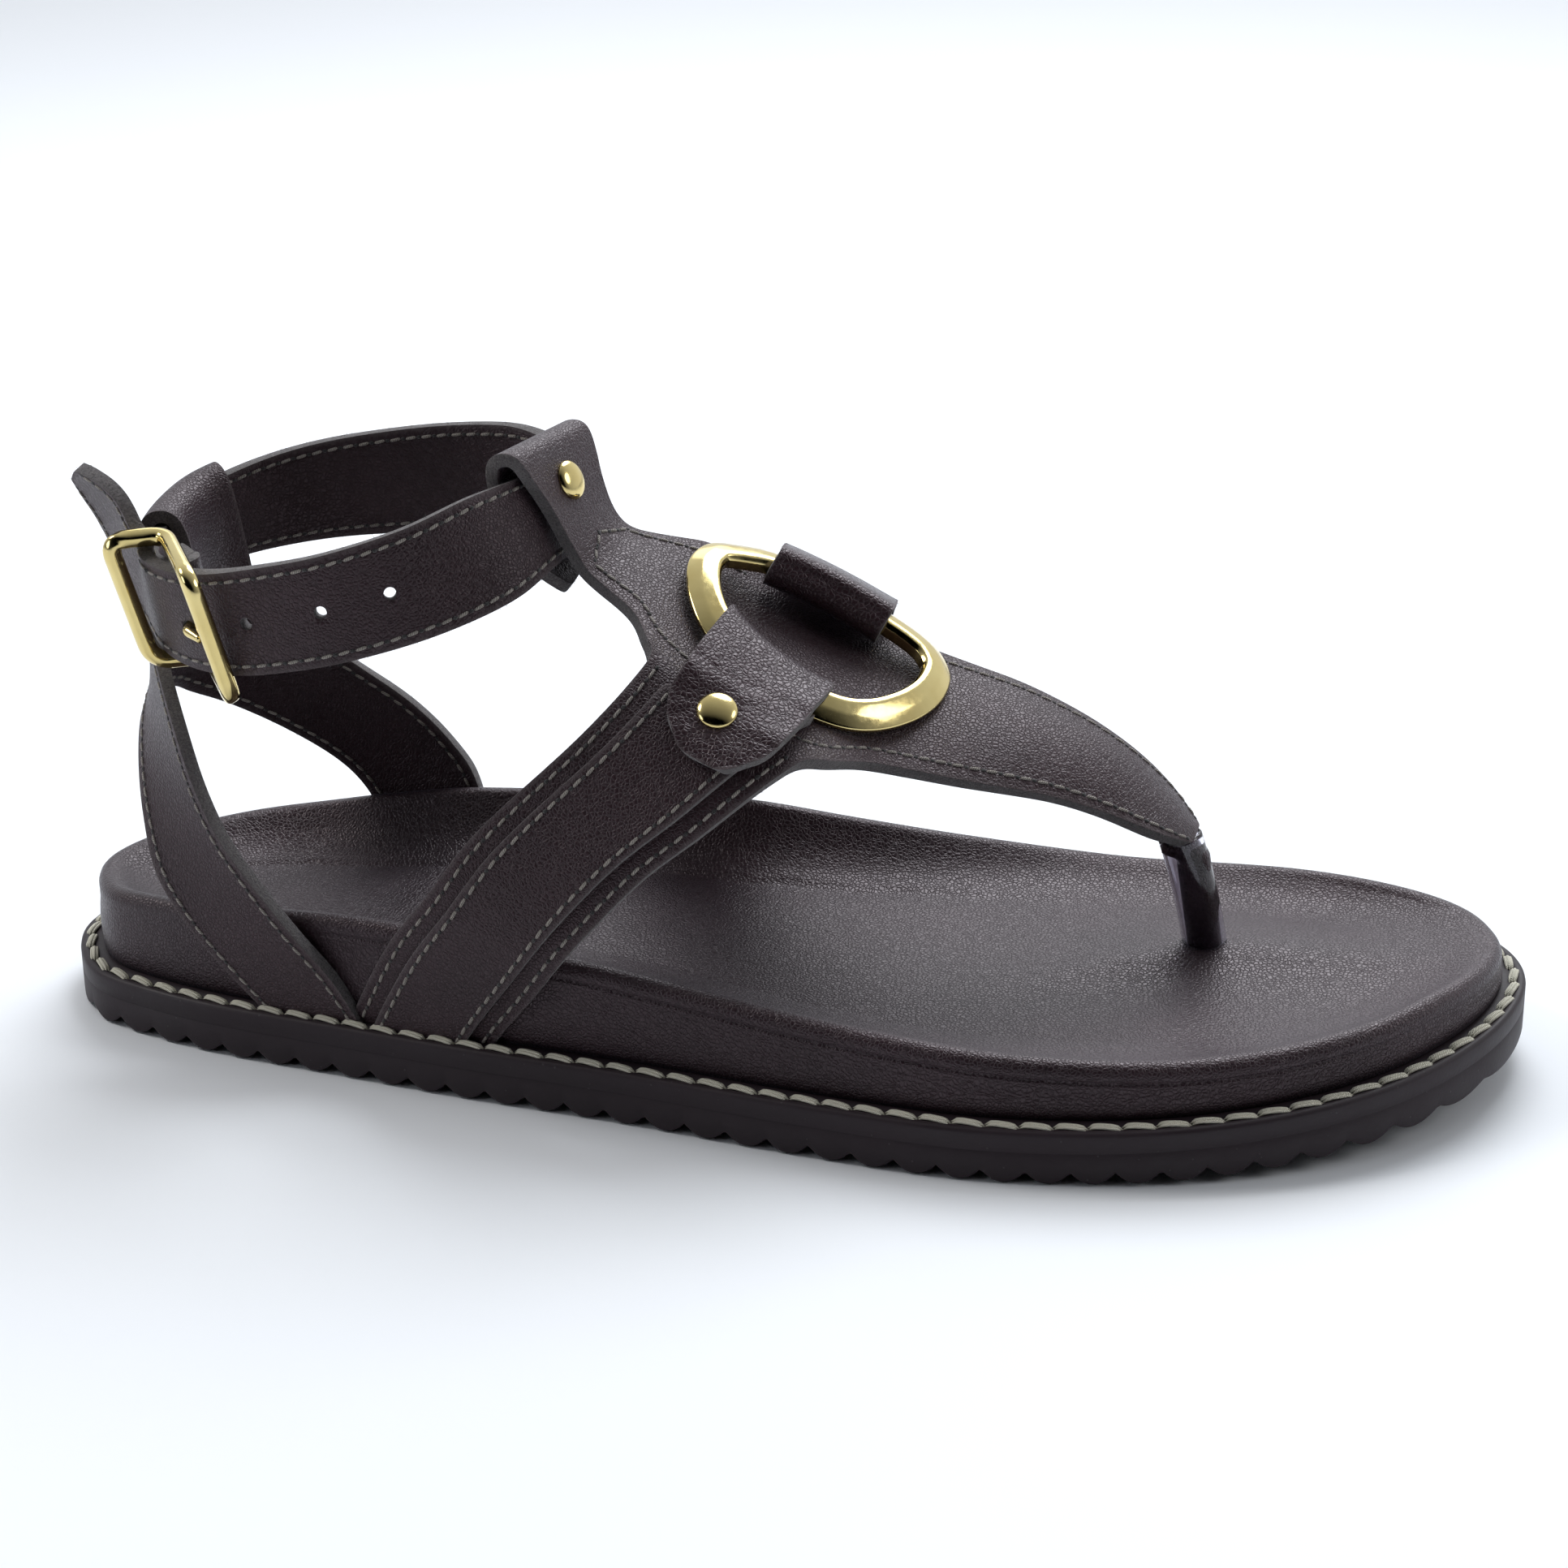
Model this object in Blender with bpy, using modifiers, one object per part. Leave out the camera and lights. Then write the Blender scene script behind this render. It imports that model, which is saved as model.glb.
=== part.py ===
"""Toe loop sandal for the right foot: contoured footbed on a stitched welt and ribbed rubber outsole,
T-shaped vamp with two side straps, metal ring, ankle strap with buckle, and a sling round the heel.

Tables are in millimetres, in the frame of the last: x from the back of the heel to the toe, y to the
inner side of the foot, z up from the floor. place() turns them into metres about the heel seat.
"""
import math

import bmesh
import bpy
import numpy as np
from mathutils import Matrix, Vector
from mathutils.bvhtree import BVHTree

MM = 0.001
GAP = 0.3                 # clearance between pieces that meet

# Driving sizes of the sole
SOLE_LENGTH = 268.0
HEEL_SEAT = 34.0          # from the back of the heel to the origin
OUTSOLE = 9.8             # thickness of rubber and welt
WELT = 4.5                # shelf of the welt outside the footbed
TOE_SPRING = 5.9          # lift of the sole at the toe tip
SPRING_START = 0.68       # where the lift begins, as a share of the length
RIB_PITCH = 7.45
RIB_DEPTH = 1.6
RIB_FLAT = 3.2            # flat of each rib that stands on the floor
OUTLINE_POINTS = 36       # points along each side of the sole

# Driving sizes of the straps
LEATHER = 2.4             # two plies of the upper
OVERLAY = 1.4
OVERLAY_SHARE = 0.64      # width of the overlay, as a share of its side strap
ANKLE_WIDTH = 20.0
TAB_LEATHER = 1.6
RIVET_RADIUS = 3.6
RIVET_HEIGHT = 1.7
HOLE_RADIUS = 1.1

# Driving sizes of the metal and the toe post
RING_LENGTH = 50.4
RING_WIDTH = 35.8
RING_BAR = 5.0
RING_FLATTEN = 0.8        # height of the ring's bar over its width
BUCKLE_HEIGHT = 24.6
BUCKLE_WIRE = 1.5
CENTRE_WIRE = 1.2
PRONG_WIRE = 1.0
SLEEVE_RADIUS = 4.1
SLEEVE_WALL = 0.9
THONG_RADIUS = 2.8
SOCKET_DEPTH = 2.5

# Edge of the outsole in plan: (station, y), from the back of the heel to the toe tip
LATERAL_EDGE = (
    (0.0, 0.0), (3.0, -11.0), (10.0, -20.5), (22.0, -26.3), (38.0, -31.0), (60.0, -35.0),
    (85.0, -39.5), (115.0, -43.8), (145.0, -49.2), (172.0, -52.7), (192.0, -52.0),
    (212.0, -48.4), (231.0, -41.0), (247.0, -30.2), (258.5, -17.0), (265.6, -3.0), (267.9, 11.0),
)
MEDIAL_EDGE = (
    (0.0, 0.0), (2.6, 11.5), (9.5, 22.5), (22.0, 31.2), (38.0, 35.0), (58.0, 34.8),
    (76.0, 33.7), (98.0, 34.0), (122.0, 36.6), (143.0, 40.8), (165.0, 45.4), (186.0, 48.4),
    (206.0, 48.2), (226.0, 46.8), (243.0, 41.8), (256.5, 34.0), (264.5, 24.0), (267.9, 11.0),
)
# Heights along the foot: (station, lateral rim, medial rim, middle of the bed)
HEIGHTS = (
    (0.0, 23.4, 23.4, 20.5), (16.0, 24.9, 23.4, 18.6), (37.0, 26.6, 25.6, 18.0),
    (54.0, 28.2, 28.7, 18.8), (72.0, 28.8, 31.4, 20.6), (100.0, 27.4, 32.4, 22.0),
    (122.0, 25.4, 31.5, 20.6), (143.0, 23.4, 27.4, 18.4), (165.0, 21.8, 23.2, 17.2),
    (190.0, 20.3, 20.0, 16.6), (215.0, 20.0, 20.2, 16.8), (241.0, 21.6, 21.0, 18.0),
    (257.0, 23.2, 21.4, 19.4), (268.0, 22.6, 21.6, 20.4),
)
# Rings of the footbed's cross-section: (inset from its wall, share of rim, share of bed, drop)
BED_RINGS = (
    (0.0, 1.0, 0.0, 1.7), (0.8, 1.0, 0.0, 0.4), (2.0, 1.0, 0.0, 0.0), (3.6, 0.93, 0.07, 0.4),
    (7.0, 0.5, 0.5, 0.0), (12.0, 0.16, 0.84, 0.0), (19.0, 0.0, 1.0, 0.0),
)

# Vamp from the toe post to the instep loop: lateral edge, medial edge, crown of the section
VAMP = (
    (207.5, 6.3, 38.3, 208.2, 13.2, 38.9, 0.6), (202.0, 1.1, 41.8, 203.0, 17.9, 43.8, 1.5),
    (193.2, -0.5, 45.7, 196.4, 18.5, 50.0, 2.5), (184.8, -2.7, 48.9, 187.4, 19.7, 55.6, 2.8),
    (176.5, -5.4, 51.1, 176.4, 21.2, 60.3, 3.0), (169.0, -7.3, 52.7, 167.2, 22.2, 63.0, 3.0),
    (161.0, -9.2, 54.6, 159.2, 22.8, 65.4, 2.6), (152.5, -13.6, 57.5, 149.3, 23.6, 68.6, 2.8),
    (144.2, -24.0, 61.7, 139.5, 25.0, 72.2, 3.4), (129.4, -20.6, 68.0, 128.0, 23.6, 78.8, 3.2),
    (116.4, -16.2, 76.2, 119.0, 20.5, 84.2, 2.4), (111.2, -9.0, 80.7, 112.4, 17.4, 86.2, 2.0),
    (102.4, -4.6, 85.6, 105.4, 13.9, 88.6, 1.4), (99.0, -4.0, 90.3, 101.7, 13.6, 92.4, 0.5),
    (95.4, -4.5, 97.6, 99.7, 13.4, 98.6, 0.0), (92.6, -6.0, 103.0, 98.3, 15.0, 103.0, 0.0),
    (90.0, -7.4, 107.2, 96.3, 16.2, 107.2, 0.0), (86.4, -7.0, 106.2, 92.4, 16.0, 106.2, 0.0),
    (86.5, -6.0, 100.4, 90.8, 14.8, 100.4, 0.0), (89.6, -4.6, 92.6, 92.2, 13.4, 93.0, 0.0),
    (93.1, -4.2, 86.8, 94.2, 13.0, 88.2, 0.0), (98.1, -2.6, 82.8, 98.4, 12.6, 84.9, 0.2),
)
LATERAL_ROOT = (8, 10)    # rows of the vamp from which each side strap leaves
MEDIAL_ROOT = (7, 9)
STEPS = 3                 # mesh rows between two rows of a table
# Side straps from the vamp to the welt: front edge, back edge
LATERAL_STRAP = (
    (144.2, -24.0, 61.7, 116.4, -16.2, 76.2), (137.7, -30.4, 58.3, 112.4, -22.0, 71.2),
    (128.1, -35.4, 50.8, 105.0, -27.6, 63.6), (119.8, -37.6, 44.6, 96.2, -31.0, 55.6),
    (111.5, -39.2, 35.9, 87.0, -34.0, 46.6), (105.0, -39.9, 28.4, 78.8, -35.2, 36.2),
    (99.5, -38.9, 20.4, 70.6, -34.3, 27.2), (92.0, -37.6, 10.4, 66.6, -33.4, 10.4),
)
MEDIAL_STRAP = (
    (149.3, 23.6, 68.6, 128.0, 23.6, 78.8), (144.0, 31.0, 60.4, 121.6, 28.6, 72.0),
    (137.0, 34.8, 51.4, 113.4, 32.0, 62.6), (129.6, 35.8, 42.6, 105.2, 33.4, 52.0),
    (122.6, 35.2, 33.8, 98.0, 32.6, 41.6), (117.0, 32.8, 25.0, 91.4, 30.9, 31.0),
    (113.4, 32.2, 10.4, 86.4, 30.8, 10.4),
)
# Heel sling from the lateral welt over the back of the heel: rear edge, front edge
HEEL_SLING = (
    (45.4, -29.6, 10.4, 65.4, -33.1, 10.4), (37.4, -28.2, 18.5, 60.6, -32.4, 18.5),
    (31.0, -27.2, 26.0, 54.2, -32.2, 26.0), (26.0, -24.6, 33.0, 47.8, -31.6, 34.0),
    (23.0, -20.4, 41.0, 41.4, -30.0, 42.0), (20.4, -14.4, 48.0, 36.6, -28.0, 51.0),
    (18.2, -7.0, 53.6, 32.6, -25.0, 61.0), (17.4, -1.0, 56.4, 25.9, -14.5, 68.7),
    (17.2, 4.0, 57.0, 20.8, -4.6, 75.6), (17.4, 8.4, 56.0, 20.2, 8.0, 76.4),
    (18.4, 13.0, 53.4, 23.6, 17.6, 75.4), (23.8, 20.4, 48.6, 34.0, 24.6, 66.0),
    (32.7, 26.2, 42.0, 46.0, 28.6, 55.6), (41.6, 30.2, 34.6, 56.6, 31.0, 47.2),
    (47.0, 31.8, 27.6, 64.6, 31.8, 38.6), (50.4, 31.9, 19.0, 69.6, 31.2, 30.0),
    (52.0, 31.8, 10.4, 72.4, 30.9, 10.4),
)
# Ankle strap from the buckle round the leg to its free end: middle, lean of its width, share of width
ANKLE_ROUTE = (
    (25.4, -7.2, 83.2, -0.17, -0.2, 0.78), (23.4, 0.0, 83.6, -0.08, -0.08, 0.74),
    (23.2, 8.0, 84.6, -0.02, -0.04, 0.74), (25.6, 15.4, 86.0, 0.0, -0.06, 0.78),
    (33.4, 22.2, 88.0, 0.0, -0.06, 0.86), (44.6, 26.2, 90.2, 0.0, -0.04, 0.93),
    (58.0, 28.2, 91.9, 0.0, 0.0, 0.98), (70.0, 28.4, 93.2, 0.0, 0.0, 1.0),
    (82.0, 25.8, 94.2, -0.06, 0.0, 1.0), (91.6, 20.0, 95.2, -0.20, 0.0, 0.82),
    (96.2, 12.0, 95.4, -0.22, 0.05, 0.74), (94.6, 4.4, 95.6, -0.31, 0.10, 0.76),
    (92.4, -5.0, 95.3, -0.36, 0.16, 0.82), (87.6, -15.0, 93.6, -0.24, 0.2, 0.96),
    (77.4, -24.0, 90.0, -0.10, 0.14, 0.94), (64.0, -29.0, 86.4, -0.04, 0.05, 0.93),
    (52.0, -29.8, 83.9, -0.08, -0.02, 0.94), (43.0, -28.2, 82.3, -0.12, -0.1, 0.95),
    (34.6, -24.4, 81.6, -0.14, -0.16, 0.95), (27.8, -18.8, 82.2, -0.12, -0.16, 0.95),
    (23.6, -13.6, 85.6, 0.1, -0.3, 0.95), (20.2, -11.4, 90.6, 0.5, -0.9, 0.95),
    (17.2, -10.4, 96.0, 0.8, -1.2, 0.84), (13.6, -9.8, 99.8, 0.9, -1.3, 0.58),
    (10.8, -9.6, 102.4, 0.9, -1.3, 0.24),
)
FOLD_TAIL = 6.4           # length of the strap's end folded back behind the centre bar
SLEEVE_ENDS = (-3.6, 18.0)               # reach of the sling's sleeve along y
SLEEVE_COLUMNS = 9
# Section of the sleeve round the ankle strap: (height above its middle, distance from it)
SLEEVE_SECTION = (
    (-5.0, -3.0), (1.0, -3.2), (6.4, -3.2), (9.1, -2.2), (9.9, 0.0), (9.1, 2.2), (6.4, 3.3),
    (-1.0, 3.4), (-8.0, 3.3), (-12.4, 3.0),
)
STRAP_HOLES = (48.4, 61.0, 73.8)         # stations of the spare holes on the lateral side
PRONG_HOLE = (36.9, -28.2, 80.3)
PRONG_TIP = (40.0, -30.4, 79.7)

# Buckle: the middles of its three uprights, and their lean
BUCKLE_FRONT = (42.6, -32.2, 80.4)
BUCKLE_CENTRE = (32.2, -15.6, 82.4)
BUCKLE_REAR = (23.4, -20.6, 82.4)
BUCKLE_LEAN = (-0.18, -0.22, 1.0)
BUCKLE_CORNER = 3.5

# Ring: its middle, the direction of its long axis, and the way it faces
RING_MIDDLE = (140.3, 4.6, 74.3)
RING_ALONG = (0.885, -0.051, -0.462)
RING_FACE = (0.429, -0.295, 0.854)
RING_ROUNDNESS = 2.4      # 2 is an ellipse, more is squarer
TAB_OFFSET = {"lateral": -2.3, "medial": -2.0}   # along the ring
TAB_HALF_WIDTH = 11.4
# Under ply of a ring tab: (distance beyond the bar, height above the vamp, share of width)
TAB_UNDER = {"lateral": ((9.5, 2.5, 0.9), (5.5, 2.6, 1.0)), "medial": ((2.8, 4.1, 0.84), (1.2, 4.5, 0.88))}
# Upper ply: (distance beyond the bar, how far it still hangs from the bar's top, share of width)
TAB_UPPER = (
    (5.7, 0.54, 1.0), (8.2, 0.18, 1.0), (10.8, 0.02, 0.97), (14.0, 0.0, 0.90), (17.4, 0.0, 0.78),
    (20.2, 0.0, 0.60), (22.2, 0.0, 0.36),
)
TAB_LIFT = 4.1            # of the upper ply above the vamp's sheet where it lies flat
TAB_SKEW = -0.30          # how far a tab leans towards the heel
RIVET_DISTANCE = 13.8     # of a tab's rivet beyond the ring's bar
INSTEP_RIVET = (97.4, 3.6, 101.0)

# Toe post: middle at the footbed and at the vamp
POST_FOOT = (211.4, 9.7, 16.2)
POST_TOP = (207.9, 9.7, 37.6)


def place(point):
    """Millimetres in the last's frame to metres about the heel seat."""
    x, y, z = point
    return Vector(((x - HEEL_SEAT) * MM, y * MM, z * MM))


def to_metres(points):
    """The same for a whole array of points."""
    return (np.asarray(points, float) - (HEEL_SEAT, 0.0, 0.0)) * MM


def clear_scene():
    for obj in list(bpy.data.objects):
        bpy.data.objects.remove(obj, do_unlink=True)


def collection(name):
    made = bpy.data.collections.new(name)
    bpy.context.scene.collection.children.link(made)
    return made


def material(name, colour, roughness, metallic=0.0, alpha=1.0):
    made = bpy.data.materials.new(name)
    made.use_nodes = True
    shader = made.node_tree.nodes["Principled BSDF"]
    shader.inputs["Base Color"].default_value = (*colour, 1.0)
    shader.inputs["Roughness"].default_value = roughness
    shader.inputs["Metallic"].default_value = metallic
    shader.inputs["Alpha"].default_value = alpha
    return made


def add_object(name, data, finish, group):
    obj = bpy.data.objects.new(name, data)
    group.objects.link(obj)
    data.materials.append(finish)
    return obj


def hide_helper(obj):
    obj.hide_render = True
    obj.display_type = "WIRE"


def finish_mesh(shape, name, finish, group, smooth_angle=50.0):
    """A bmesh made an object, its faces turned outward and its round parts shaded smooth."""
    bmesh.ops.recalc_face_normals(shape, faces=shape.faces)
    data = bpy.data.meshes.new(name)
    shape.to_mesh(data)
    shape.free()
    data.shade_smooth()
    data.set_sharp_from_angle(angle=math.radians(smooth_angle))
    return add_object(name, data, finish, group)


def as_mesh(curve_object, group):
    """A curve object replaced by its welded mesh, so that it can be cut or joined."""
    bpy.context.view_layer.update()
    graph = bpy.context.evaluated_depsgraph_get()
    data = bpy.data.meshes.new_from_object(curve_object.evaluated_get(graph))
    shape = bmesh.new()
    shape.from_mesh(data)
    bmesh.ops.remove_doubles(shape, verts=shape.verts, dist=1e-6)
    bmesh.ops.recalc_face_normals(shape, faces=shape.faces)
    shape.to_mesh(data)
    shape.free()
    made = bpy.data.objects.new(curve_object.name, data)
    group.objects.link(made)
    made.matrix_world = curve_object.matrix_world
    name = curve_object.name
    bpy.data.objects.remove(curve_object, do_unlink=True)
    made.name = name
    return made


def boolean(target, other, operation):
    modifier = target.modifiers.new(other.name, "BOOLEAN")
    modifier.operation = operation
    modifier.solver = "EXACT"
    modifier.object = other
    hide_helper(other)


def smooth_curve(points, steps, closed=False):
    """Catmull-Rom curve through rows of numbers, with this many steps between two rows."""
    points = np.asarray(points, float)
    if closed:
        before, after, last = np.roll(points, 1, 0), np.roll(points, -1, 0), np.roll(points, -2, 0)
        here = points
    else:
        ends = np.vstack([2 * points[0] - points[1], points, 2 * points[-1] - points[-2]])
        before, here, after, last = ends[:-3], ends[1:-2], ends[2:-1], ends[3:]
    rows = []
    for step in range(steps):
        t = step / steps
        rows.append(0.5 * (2 * here + (after - before) * t
                           + (2 * before - 5 * here + 4 * after - last) * t ** 2
                           + (3 * here - before - 3 * after + last) * t ** 3))
    curve = np.stack(rows, axis=1).reshape(-1, points.shape[1])
    return curve if closed else np.vstack([curve, points[-1]])


def even_points(curve, count):
    """Points at equal distances along a curve."""
    lengths = np.linalg.norm(np.diff(curve, axis=0), axis=1)
    travelled = np.concatenate([[0.0], np.cumsum(lengths)])
    wanted = np.linspace(0.0, travelled[-1], count)
    return np.stack([np.interp(wanted, travelled, column) for column in curve.T], axis=1)


def spring(station):
    """Lift of the sole above the floor, nothing under the heel and the ball, most at the toe."""
    share = np.clip((station / SOLE_LENGTH - SPRING_START) / (1.0 - SPRING_START), 0.0, 1.0)
    return TOE_SPRING * share ** 2


def sole_outline():
    """Closed outline of the outsole: lateral side to the toe, then medial side back to the heel."""
    count = OUTLINE_POINTS + 1
    whole = smooth_curve(LATERAL_EDGE + MEDIAL_EDGE[-2:0:-1], 8, closed=True)
    turn = 8 * (len(LATERAL_EDGE) - 1)
    lateral = even_points(whole[:turn + 1], count)
    medial = even_points(np.vstack([whole[turn:], whole[:1]]), count)
    return np.vstack([lateral[:-1], medial[:-1]])


def inset(outline, distance):
    """The outline moved inward by a distance, at right angles to its own direction."""
    along = np.roll(outline, -1, 0) - np.roll(outline, 1, 0)
    along /= np.linalg.norm(along, axis=1, keepdims=True)
    return outline + distance * np.stack([-along[:, 1], along[:, 0]], axis=1)


def flat_outline(name, points, depth, finish, group):
    """A 2D curve through points in metres, filled, with its thickness to both sides."""
    data = bpy.data.curves.new(name, "CURVE")
    data.dimensions = "2D"
    data.fill_mode = "BOTH"
    data.extrude = depth / 2
    spline = data.splines.new("POLY")
    spline.points.add(len(points) - 1)
    for knot, (x, y) in zip(spline.points, points):
        knot.co = (x, y, 0.0, 1.0)
    spline.use_cyclic_u = True
    return add_object(name, data, finish, group)


def wire(name, points, radius, finish, group, closed=False, resolution=2):
    """A round bar along points in metres."""
    data = bpy.data.curves.new(name, "CURVE")
    data.dimensions = "3D"
    data.bevel_depth = radius
    data.bevel_resolution = resolution
    data.use_fill_caps = not closed
    spline = data.splines.new("POLY")
    spline.points.add(len(points) - 1)
    for knot, point in zip(spline.points, points):
        knot.co = (*point, 1.0)
    spline.use_cyclic_u = closed
    return add_object(name, data, finish, group)


def grid_faces(shape, grid, wrap=False):
    """Quads between the rows and columns of a grid of bmesh vertices."""
    rows = len(grid)
    for i in range(rows if wrap else rows - 1):
        here, after = grid[i], grid[(i + 1) % rows]
        for j in range(len(here) - 1):
            corners = []
            for vert in (here[j], here[j + 1], after[j + 1], after[j]):
                if vert not in corners:
                    corners.append(vert)
            if len(corners) > 2:
                shape.faces.new(corners)


def add_grid(shape, points):
    """Vertices for a grid of points in millimetres."""
    return [[shape.verts.new(place(point)) for point in row] for row in points]


def grid_normals(points):
    """Unit normals of a grid of points, across its columns and along its rows."""
    across = np.gradient(points, axis=1)
    along = np.gradient(points, axis=0)
    normals = np.cross(across, along)
    return normals / np.linalg.norm(normals, axis=2, keepdims=True)


def leather(obj, thickness):
    """The sheet of a strap given its thickness, half to each side."""
    modifier = obj.modifiers.new("leather", "SOLIDIFY")
    modifier.thickness = thickness * MM
    modifier.offset = 0.0
    modifier.use_even_offset = True


def strap(name, points, thickness, finish, group):
    """A strap from a grid of points in millimetres, a row for each place along it."""
    shape = bmesh.new()
    grid_faces(shape, add_grid(shape, points))
    obj = finish_mesh(shape, name, finish, group)
    leather(obj, thickness)
    return obj


def edge_grid(rows, steps, columns):
    """A grid between two edges that are given as the columns of a table."""
    curve = smooth_curve([row[:6] for row in rows], steps)
    share = np.linspace(0.0, 1.0, columns)[None, :, None]
    return curve[:, None, :3] * (1 - share) + curve[:, None, 3:6] * share


def build_outsole(outline, finish, group, cutters):
    """Side profile with its ribs and toe spring, cut to the outline of the sole."""
    count = int(round(SOLE_LENGTH / RIB_PITCH)) + 2
    first = HEEL_SEAT - math.ceil(HEEL_SEAT / RIB_PITCH) * RIB_PITCH
    half, flat = RIB_PITCH / 2, RIB_FLAT / 2
    profile = []
    for index in range(count):
        middle = first + index * RIB_PITCH
        fade = np.clip((SOLE_LENGTH + 8.0 - middle) / 30.0, 0.0, 1.0)
        for step, depth in ((-half, 1.0), (-half + 0.7, 0.6), (-flat, 0.0), (flat, 0.0), (half - 0.7, 0.6)):
            station = middle + step
            profile.append((station, spring(station) + RIB_DEPTH * fade * depth))
    for station in np.linspace(profile[-1][0], profile[0][0], 40):
        profile.append((station, OUTSOLE + spring(station)))
    side = flat_outline("outsole_side", [((x - HEEL_SEAT) * MM, z * MM) for x, z in profile],
                        140.0 * MM, finish, cutters)
    side.matrix_world = Matrix.Rotation(math.radians(90), 4, "X")
    side = as_mesh(side, cutters)
    plan = flat_outline("outsole", to_metres(np.column_stack([outline, 0 * outline[:, 0]]))[:, :2],
                        40.0 * MM, finish, group)
    plan = as_mesh(plan, group)
    boolean(plan, side, "INTERSECT")
    return plan


def bed_heights(stations, y):
    """Rim height, blended from the lateral to the medial side, and height of the bed's middle."""
    table = np.array(HEIGHTS)
    lateral = np.interp(stations, table[:, 0], table[:, 1])
    medial = np.interp(stations, table[:, 0], table[:, 2])
    bed = np.interp(stations, table[:, 0], table[:, 3])
    side = np.clip(0.5 + y / 36.0, 0.0, 1.0)
    return lateral * (1 - side) + medial * side, bed


def build_footbed(outline, finish, group, cutters):
    """Rings from the wall over the rim down to the bed, closed by a ladder of faces across it."""
    wall = inset(outline, WELT)
    rim, _ = bed_heights(wall[:, 0], wall[:, 1])
    rings = [np.column_stack([wall, OUTSOLE + GAP + spring(wall[:, 0])])]
    for distance, rim_share, bed_share, drop in BED_RINGS:
        ring = inset(wall, distance)
        _, bed = bed_heights(ring[:, 0], ring[:, 1])
        rings.append(np.column_stack([ring, rim * rim_share + bed * bed_share - drop]))
    shape = bmesh.new()
    loops = add_grid(shape, [list(ring) + [ring[0]] for ring in rings])
    for loop in loops:
        shape.verts.remove(loop.pop())
        loop.append(loop[0])
    grid_faces(shape, loops)
    for loop in (loops[0], loops[-1]):
        last = len(loop) - 1
        pairs = [[loop[i], loop[last - i]] for i in range(OUTLINE_POINTS + 1)]
        grid_faces(shape, pairs)
    footbed = finish_mesh(shape, "footbed", finish, group)
    socket = tube_along("post_socket", POST_FOOT, POST_TOP, SLEEVE_RADIUS + GAP, -SOCKET_DEPTH, 20.0,
                        finish, cutters)
    boolean(footbed, socket, "DIFFERENCE")
    return footbed


def tube_along(name, foot, top, radius, start, end, finish, group, segments=24):
    """A closed cylinder on the line from foot to top, from start to end millimetres past foot."""
    foot, top = place(foot), place(top)
    axis = (top - foot).normalized()
    middle = foot + axis * (start + end) / 2 * MM
    turn = Vector((0, 0, 1)).rotation_difference(axis).to_matrix().to_4x4()
    shape = bmesh.new()
    bmesh.ops.create_cone(shape, cap_ends=True, segments=segments, radius1=radius * MM,
                          radius2=radius * MM, depth=(end - start) * MM,
                          matrix=Matrix.Translation(middle) @ turn)
    return finish_mesh(shape, name, finish, group)


def build_toe_post(leather_finish, clear_finish, group, cutters):
    """A leather thong inside a clear tube that stands in the footbed's socket."""
    length = (place(POST_TOP) - place(POST_FOOT)).length / MM
    thong = tube_along("toe_thong", POST_FOOT, POST_TOP, THONG_RADIUS, GAP - SOCKET_DEPTH, length - 1.6,
                       leather_finish, group, segments=20)
    sleeve = tube_along("toe_sleeve", POST_FOOT, POST_TOP, SLEEVE_RADIUS, GAP - SOCKET_DEPTH, length - 2.4,
                        clear_finish, group)
    bore = tube_along("sleeve_bore", POST_FOOT, POST_TOP, SLEEVE_RADIUS - SLEEVE_WALL, -6.0, length + 4.0,
                      clear_finish, cutters)
    boolean(sleeve, bore, "DIFFERENCE")
    return thong, sleeve


def vamp_grid():
    """The vamp's own sheet: a chord between its edges with a crown in the middle."""
    curve = smooth_curve(VAMP, STEPS)
    share = np.linspace(0.0, 1.0, 7)[None, :, None]
    chord = curve[:, None, :3] * (1 - share) + curve[:, None, 3:6] * share
    lift = curve[:, None, 6:7] * (4 * share * (1 - share))
    return chord - grid_normals(chord) * lift


def side_grid(table, root):
    """A side strap whose first row is the vamp's edge, and whose last stands on the welt."""
    columns = len(root)
    grid = edge_grid(table, 2, columns)
    rows = np.linspace(0.0, 1.0, len(grid))[:, None, None]
    return grid + (root - grid[0])[None] * (1 - rows) ** 3


def build_vamp(finish, group, cutters):
    """One sheet: vamp, both side straps and the instep loop, with an overlay on each side strap."""
    vamp = vamp_grid()
    shape = bmesh.new()
    verts = add_grid(shape, vamp)
    grid_faces(shape, verts)
    overlays = []
    for name, table, roots, column, outward in (
            ("lateral", LATERAL_STRAP, LATERAL_ROOT, 0, 1.0), ("medial", MEDIAL_STRAP, MEDIAL_ROOT, -1, -1.0)):
        first, last = (row * STEPS for row in roots)
        side = side_grid(table, vamp[first:last + 1, column])
        side_verts = [[row[column] for row in verts[first:last + 1]]] + add_grid(shape, side[1:])
        grid_faces(shape, side_verts)
        overlays.append((name, side, outward))
    shape.normal_update()
    surface = BVHTree.FromBMesh(shape)
    obj = finish_mesh(shape, "vamp", finish, group)
    leather(obj, LEATHER)
    for name, side, outward in overlays:
        margin = (1 - OVERLAY_SHARE) / 2
        places = np.linspace(margin, 1 - margin, 5) * (side.shape[1] - 1)
        low = np.floor(places).astype(int)
        part = (places - low)[None, :, None]
        lifted = side + outward * grid_normals(side) * (LEATHER / 2 + 0.1)
        sheet = lifted[:, low] * (1 - part) + lifted[:, np.minimum(low + 1, side.shape[1] - 1)] * part
        overlay = strap("overlay_" + name, sheet[2:-1], OVERLAY, finish, cutters)
        boolean(obj, overlay, "UNION")
    return surface


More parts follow.
